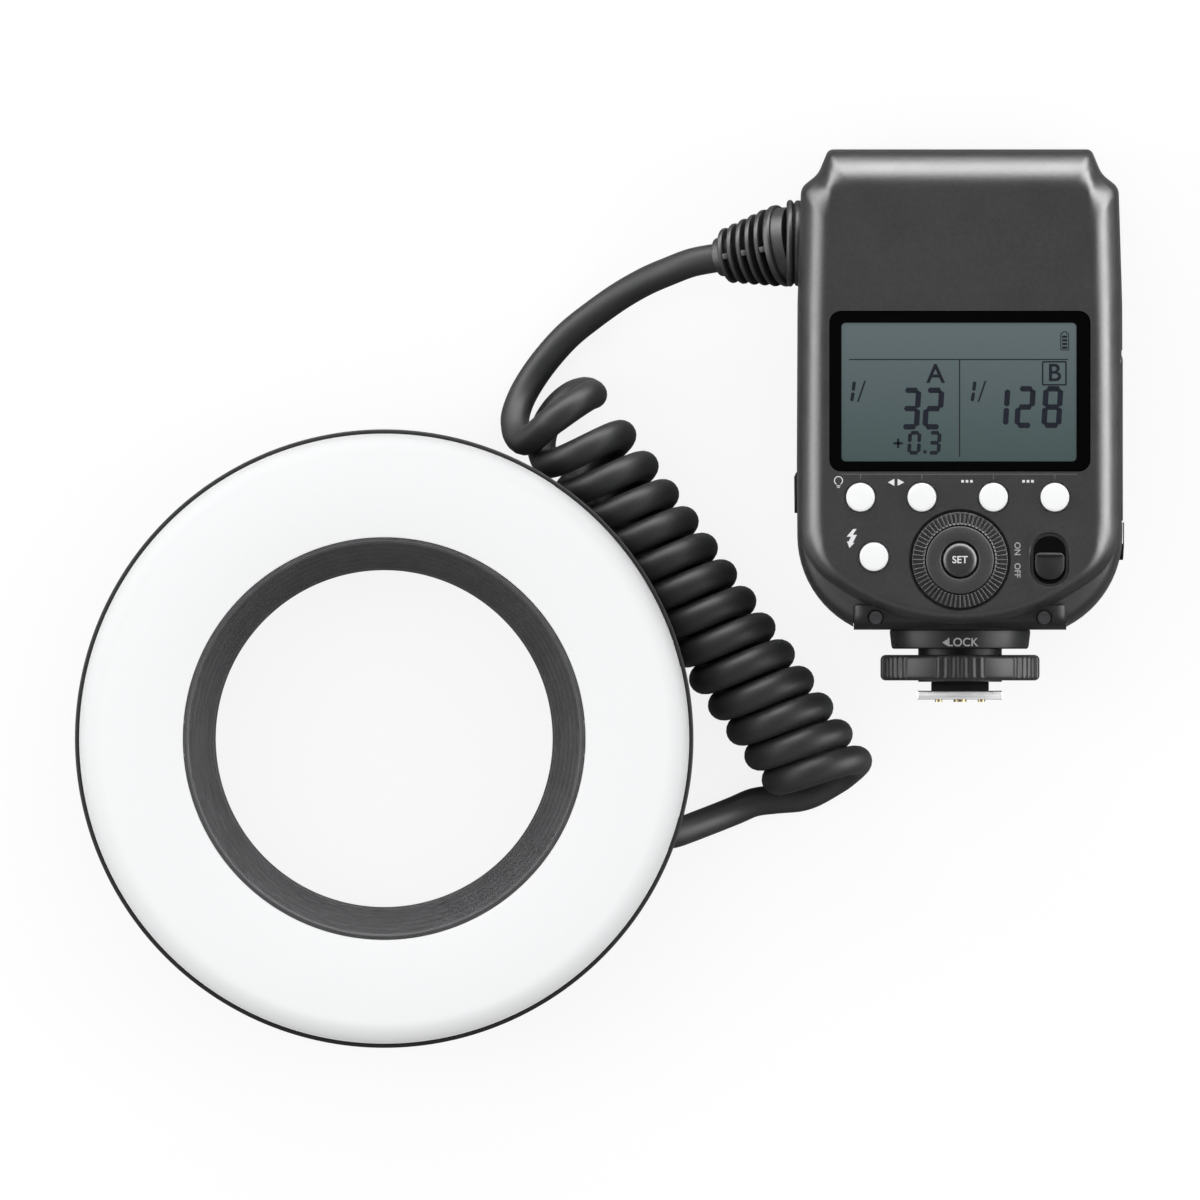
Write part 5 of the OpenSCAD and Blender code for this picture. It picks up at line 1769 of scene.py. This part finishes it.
    def mark(self, corners: Sequence[Flat], z: float, thick: float = 0.04) -> bmesh.types.BMesh:
        """A thin flat mark on the face."""
        return stack([(z, corners), (z + thick, corners)])

    def prints(self) -> None:
        """White marks on the face: a rule with ticks, a lamp, arrows, a bolt and ON and OFF."""
        z, (ux, uy) = self.face, self.unit
        y = self.line_y
        grey = [self.mark([(-25.6, y - 0.06), (25.2, y - 0.06), (25.2, y + 0.06), (-25.6, y + 0.06)], z)]
        for x in (-21.4, -8.2, 7.2, 20.4):
            grey.append(self.mark([(x - 0.07, y - 1.1), (x + 0.07, y - 1.1), (x + 0.07, y), (x - 0.07, y)], z))
        dressed("face_rule", moved(joined(grey), (ux, uy, 0.0)), FAINT, Body.UNIT, (), 60)
        white = []
        lamp = Display().local(838.5, 482.0)
        for i in range(18):
            a, b = math.radians(-150 + i * 300 / 18), math.radians(-150 + (i + 1) * 300 / 18)
            white.append(
                self.mark(
                    [
                        (lamp[0] + r * math.sin(t), lamp[1] + 0.25 + r * math.cos(t))
                        for r, t in ((0.78, b), (0.97, b), (0.97, a), (0.78, a))
                    ],
                    z,
                )
            )
        for k, half in ((0, 0.42), (1, 0.3)):
            yy = lamp[1] - 0.85 - 0.32 * k
            white.append(self.mark([(lamp[0] - half, yy - 0.09), (lamp[0] + half, yy - 0.09),
                (lamp[0] + half, yy + 0.09), (lamp[0] - half, yy + 0.09)], z))
        mid = Display().local(896.0, 482.5)
        for s in (-1, 1):
            tip = (mid[0] + s * 1.75, mid[1])
            corners = [tip, (mid[0] + s * 0.35, mid[1] + 0.75 * s), (mid[0] + s * 0.35, mid[1] - 0.75 * s)]
            white.append(self.mark(corners, z))
        bx, by = Display().local(852.0, 538.5)
        bolt = [(0.25, 2.0), (-1.15, 0.35), (-0.2, 0.35), (-0.75, -0.75), (-1.1, -0.6), (-0.55, -2.1),
            (0.55, -0.95), (0.15, -1.0), (1.05, 0.75), (0.15, 0.75), (1.0, 2.0)]
        white.append(self.mark([(bx + u, by + v) for u, v in reversed(bolt)], z))
        on, off = Display().local(1017.2, 549.0), Display().local(1017.2, 570.5)
        words = [lettering("ON", 1.25, on, z, -90.0, 0.04), lettering("OFF", 1.25, off, z, -90.0, 0.04)]
        dressed("switch_words", moved(joined(words), (ux, uy, 0.0)), SMALL, Body.UNIT, (), 60)
        for px in (967.0, 1028.0):
            cx, cy = Display().local(px, 481.5)
            for k in (-1, 0, 1):
                x = cx + k * 0.95
                white.append(self.mark([(x - 0.28, cy - 0.28), (x + 0.28, cy - 0.28), (x + 0.28, cy + 0.28),
                    (x - 0.28, cy + 0.28)], z))
        dressed("face_marks", moved(joined(white), (ux, uy, 0.0)), PRINT, Body.UNIT, (), 60)

    def build(self) -> None:
        """Makes every control and the marks."""
        low, high = corner_of("front_cover")
        self.face = high.z
        for node, body in self.keys.items():
            self.key(node, body)
        self.dial()
        self.power()
        self.prints()


@dataclass
class Shoe:
    """The collar, the knurled lock wheel and the bright foot."""

    grips: int = 6
    ribs_each: int = 10
    depth: float = 0.35
    foot_t: float = 1.9
    rail_w: float = 12.4

    def collar(self) -> None:
        """The still collar: a flanged drum down to the neck."""
        low, high = corner_of("lock_collar")
        x, z = (low.x + high.x) / 2, (low.z + high.z) / 2
        r, top, foot = (high.x - low.x) / 2, high.y, low.y
        neck, skirt = 9.0, -4.1
        profile = [
            (0.0, 0.0), (r - 0.3, 0.0), (r - 0.1, -0.2), (r - 0.1, -0.7), (r - 0.42, skirt + 0.7),
            (r - 0.55, skirt + 0.25),
            (r - 0.85, skirt), (neck, skirt), (neck, foot - top), (0.0, foot - top),
        ]
        solid = turned([(a, -b) for a, b in profile], 128, Axis.Y)
        dressed("shoe_collar", moved(solid, (x, top, z)), COLLAR, Body.UNIT, ["lock_collar"])

    def outline(self, r: float, depth: float, fine: int = 6) -> list[Flat]:
        """The wheel's outline: six grips of round-backed ribs with plain stretches between."""
        total = self.grips * self.ribs_each
        points = []
        for i in range(total):
            part = (i % self.ribs_each) / self.ribs_each
            held = 0.15 < part < 0.75
            for k in range(fine):
                a = 2 * math.pi * (i + k / fine) / total
                dip = depth * (0.5 - 0.5 * math.cos(2 * math.pi * (k / fine + 0.5))) if held else 0.0
                points.append(((r - dip) * math.cos(a), (r - dip) * math.sin(a)))
        return points

    def wheel(self) -> None:
        """The lock wheel, knurled in six grips, with rolled rims and a bore round the neck."""
        low, high = corner_of("lock_wheel")
        x, z = (low.x + high.x) / 2, (low.z + high.z) / 2
        r, wide = (high.x - low.x) / 2, high.y - low.y
        levels = [(0.0, -1.0, 0.0), (0.18, -0.45, 0.0), (0.6, -0.1, 0.4), (1.0, 0.0, 1.0),
            (wide - 1.0, 0.0, 1.0), (wide - 0.6, -0.1, 0.4), (wide - 0.18, -0.45, 0.0), (wide, -1.0, 0.0)]
        solid = stack([(h, self.outline(r + d, self.depth * k)) for h, d, k in levels])
        hole = [stack([(-1, circle(9.05, (0, 0), 72)), (wide + 1, circle(9.05, (0, 0), 72))])]
        made = carved("wheel_work", solid, hole)
        bmesh.ops.rotate(made, verts=made.verts, cent=(0, 0, 0), matrix=Matrix.Rotation(math.radians(90), 3, "X"))
        dressed("lock_wheel_grip", moved(made, (x, high.y, z)), SOFT, Body.WHEEL, ["lock_wheel"])

    def foot(self) -> None:
        """The bright foot with its contact wells, under a dark rail."""
        low, high = corner_of("shoe_foot")
        x, z = (low.x + high.x) / 2, (low.z + high.z) / 2
        rail_y = low.y + self.foot_t
        wells = [turned([(0.0, -1.0), (r, -1.0), (r, self.foot_t + 1), (0.0, self.foot_t + 1)], 32,
            Axis.Y) for r in (1.9, 1.1, 1.1, 1.1, 1.1)]
        places = [(0.0, 0.0), (-4.6, -4.0), (4.6, -4.0), (-4.6, 4.0), (4.6, 4.0)]
        for well, (u, v) in zip(wells, places):
            moved(well, (x + u, rail_y, z + v))
        pin_low, pin_high = corner_of("lock_pin")
        pin_r = (pin_high.x - pin_low.x) / 2 + 0.12
        pin_at = ((pin_low.x + pin_high.x) / 2, high.y, (pin_low.z + pin_high.z) / 2)
        wells.append(moved(turned([(0.0, -4.0), (pin_r, -4.0), (pin_r, 12.0), (0.0, 12.0)], 32, Axis.Y), pin_at))
        gap = moved(turned([(0.0, -4.0), (pin_r, -4.0), (pin_r, 12.0), (0.0, 12.0)], 32, Axis.Y), pin_at)
        plate = carved("foot_work", block((low.x, low.y, low.z), (high.x, rail_y, high.z), 0.3, 3), wells)
        dressed("shoe_foot_plate", plate, BRIGHT, Body.UNIT, ["shoe_foot"])
        rail = block((x - self.rail_w / 2, rail_y - 0.05, low.z + 0.1),
            (x + self.rail_w / 2, high.y, high.z - 0.1), 0.1)
        dressed("shoe_foot_rail", carved("rail_work", rail, [gap]), DARK, Body.UNIT)

    def word(self) -> None:
        """The arrow and the word on the collar's rim, curved with it."""
        low, high = corner_of("lock_collar")
        x, z, r = (low.x + high.x) / 2, (low.z + high.z) / 2, (high.x - low.x) / 2 - 0.1
        drop, slope = 2.75, 0.1185
        letters = lettering("LOCK", 1.75, (0.6, 0.0), 0.0, 0.0, 0.05)
        arrow = stack([(0.0, [(-3.9, 0.0), (-2.7, -0.75), (-2.7, 0.75)]),
            (0.05, [(-3.9, 0.0), (-2.7, -0.75), (-2.7, 0.75)])])
        made = joined([letters, arrow])
        for v in made.verts:
            a = v.co.x / r
            lift = r - (drop - v.co.y - 0.7) * slope + 0.01 + v.co.z
            v.co = Vector((x + lift * math.sin(a), high.y - drop + v.co.y, z + lift * math.cos(a)))
        dressed("lock_word", made, SMALL, Body.UNIT, (), 60)

    def build(self) -> None:
        """Makes the collar, the wheel, the foot and the word."""
        self.collar()
        self.wheel()
        self.foot()
        self.word()


@dataclass
class StrainRelief:
    """The ribbed boot that the cord comes out of, leaning down and forward."""

    root: Point = (88.4, 106.5, 25.0)
    turn: float = 10.5
    dip: float = 20.0
    collar_r: float = 9.35
    core_r: float = 4.2
    first: float = 5.4
    pitch: float = 2.35
    ribs: int = 5
    rib_t: float = 1.1
    tip_r: float = 6.0
    end: float = 17.95

    def boot(self) -> bmesh.types.BMesh:
        """Core, ribs with round edges and the webs between them, along +Z from the origin."""
        parts = [
            turned([(0, 0), (self.core_r, 0), (self.core_r, self.end - 0.5),
                (self.core_r - 0.15, self.end - 0.15), (self.core_r - 0.5, self.end), (0, self.end)], 48)
        ]
        big = self.collar_r - 0.5
        parts.append(turned([(0, 0.0), (big - 0.9, 0.0), (big - 0.7, 2.4), (big - 0.2, 2.6), (big, 2.9),
            (big, 3.7), (big - 0.25, 4.1), (big - 0.7, 4.25), (0, 4.25)], 64))
        for i in range(self.ribs):
            r = self.collar_r - 1 - (self.collar_r - 1 - self.tip_r) * i / (self.ribs - 1)
            z = self.first + i * self.pitch
            t = self.rib_t
            profile = [(0, z), (r - 0.4, z), (r - 0.15, z + 0.1), (r, z + 0.32), (r, z + t - 0.32),
                (r - 0.15, z + t - 0.1), (r - 0.4, z + t), (0, z + t)]
            parts.append(turned(profile, 64))
            reach, gap = r * 0.97, self.pitch - t + 0.2
            low = z - self.pitch + t - 0.1
            web = block((-reach, -0.62, low), (reach, 0.62, low + gap), 0.12)
            bmesh.ops.rotate(web, verts=web.verts, cent=(0, 0, 0),
                matrix=Matrix.Rotation(math.radians(90 * (i % 2)), 3, "Z"))
            parts.append(web)
        return joined(parts)

    def build(self) -> None:
        """Makes the boot and its two wall collars."""
        boot = self.boot()
        lean = Matrix.Rotation(math.radians(180 + self.turn), 4,
            "Z") @ Matrix.Rotation(math.radians(90 + self.dip), 4, "Y")
        turned_by(boot, Matrix.Translation(self.root) @ lean)
        r = self.collar_r
        collar = turned(
            [
                (0, -4.3), (8.4, -4.3), (8.4, -2.9), (7.5, -2.9), (7.5, -1.4), (r - 0.55, -1.4),
                (r - 0.2, -1.1), (r - 0.1, -0.7),
                (r - 0.15, -0.2), (r - 0.45, 0.1), (r - 0.8, 0.3), (r - 0.4, 0.5), (r - 0.1, 0.75), (r, 1.1),
                (r - 0.1, 1.5),
                (r - 0.4, 1.8), (r - 0.8, 1.9), (0, 1.9),
            ],
            64,
        )
        turned_by(collar, Matrix.Translation(self.root) @ Matrix.Rotation(math.radians(-90), 4, "Y"))
        dressed("cord_boot", joined([boot, collar]), BOOT, Body.UNIT, ["unit_strain_relief"])


# Pieces kept from the frame


class KeptParts:
    """Every CAD node that stays in sight, with its finish, and those that only get eased edges."""

    finishes: dict[str, Finish] = {
        "ring_rear_housing": SATIN, "flash_tube_left": TUBE_GLASS, "flash_tube_right": TUBE_GLASS,
        "reflector_left": SHEET, "reflector_right": SHEET, "ring_circuit_board": PCB, "modelling_lamps": KEY,
        "trigger_coils": COPPER, "ring_screws": STEEL, "release_lever_left": STEEL, "release_lever_right": STEEL,
        "lcd_panel": PART_GREY, "lcd_backlight": KEY, "main_board": PCB, "key_switches": STEEL,
        # switch_body is dressed in DARK so that the switch well looks dark: painted shade
        "dial_encoder": PART_GREY, "switch_body": DARK, "flash_capacitor": PART_GREY, "transformer": COPPER,
        "battery_holder": SOFT, "battery_cells": CELL, "battery_contacts": STEEL, "door_contacts": STEEL,
        "battery_door_pin": STEEL, "sync_socket": PART_GREY, "shoe_contacts": BRASS, "lock_pin": STEEL,
        "unit_screws": BLACKED,
    }
    eased: dict[str, tuple[str, Finish, Body, str, float]] = {
        "ring_cable_gland": ("cord_gland", CORD, Body.RING, "cord_black", 0.25),
    }
    buttons: dict[str, str] = {"release_button_left": "button_left", "release_button_right": "button_right"}

    def build(self) -> None:
        """Dresses the kept nodes and makes the eased ones."""
        for node, finish in self.finishes.items():
            data = FRAME["nodes"][node].data
            data.materials.clear()
            data.materials.append(finish.material())
        for node, (name, finish, body, slot, edge) in self.eased.items():
            dressed(name, softened(node, edge), finish, body, [node])
        for node, body in self.buttons.items():
            made = new_object(f"{body}_cap", softened(node, 0.3))
            smooth(made)
            made.data.materials.append(SOFT.material())
            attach(made, body)
            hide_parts(node)


def main() -> None:
    """Builds the scene in order and reports each piece."""
    logging.basicConfig(level=logging.INFO, format="%(name)s %(message)s")
    FRAME.update(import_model())
    makers: list[tuple[str, Callable[[], None]]] = [
        ("studio", Studio().build), ("cord", CurlyCord().build), ("ring head", RingHead().build),
        ("housing", Housing().build), ("display", Display().build), ("controls", Controls().build),
        ("shoe", Shoe().build), ("strain relief", StrainRelief().build), ("kept parts", KeptParts().build),
    ]
    for name, build in makers:
        build()
        LOG.info("%s is built", name)


if __name__ == "__main__":
    main()
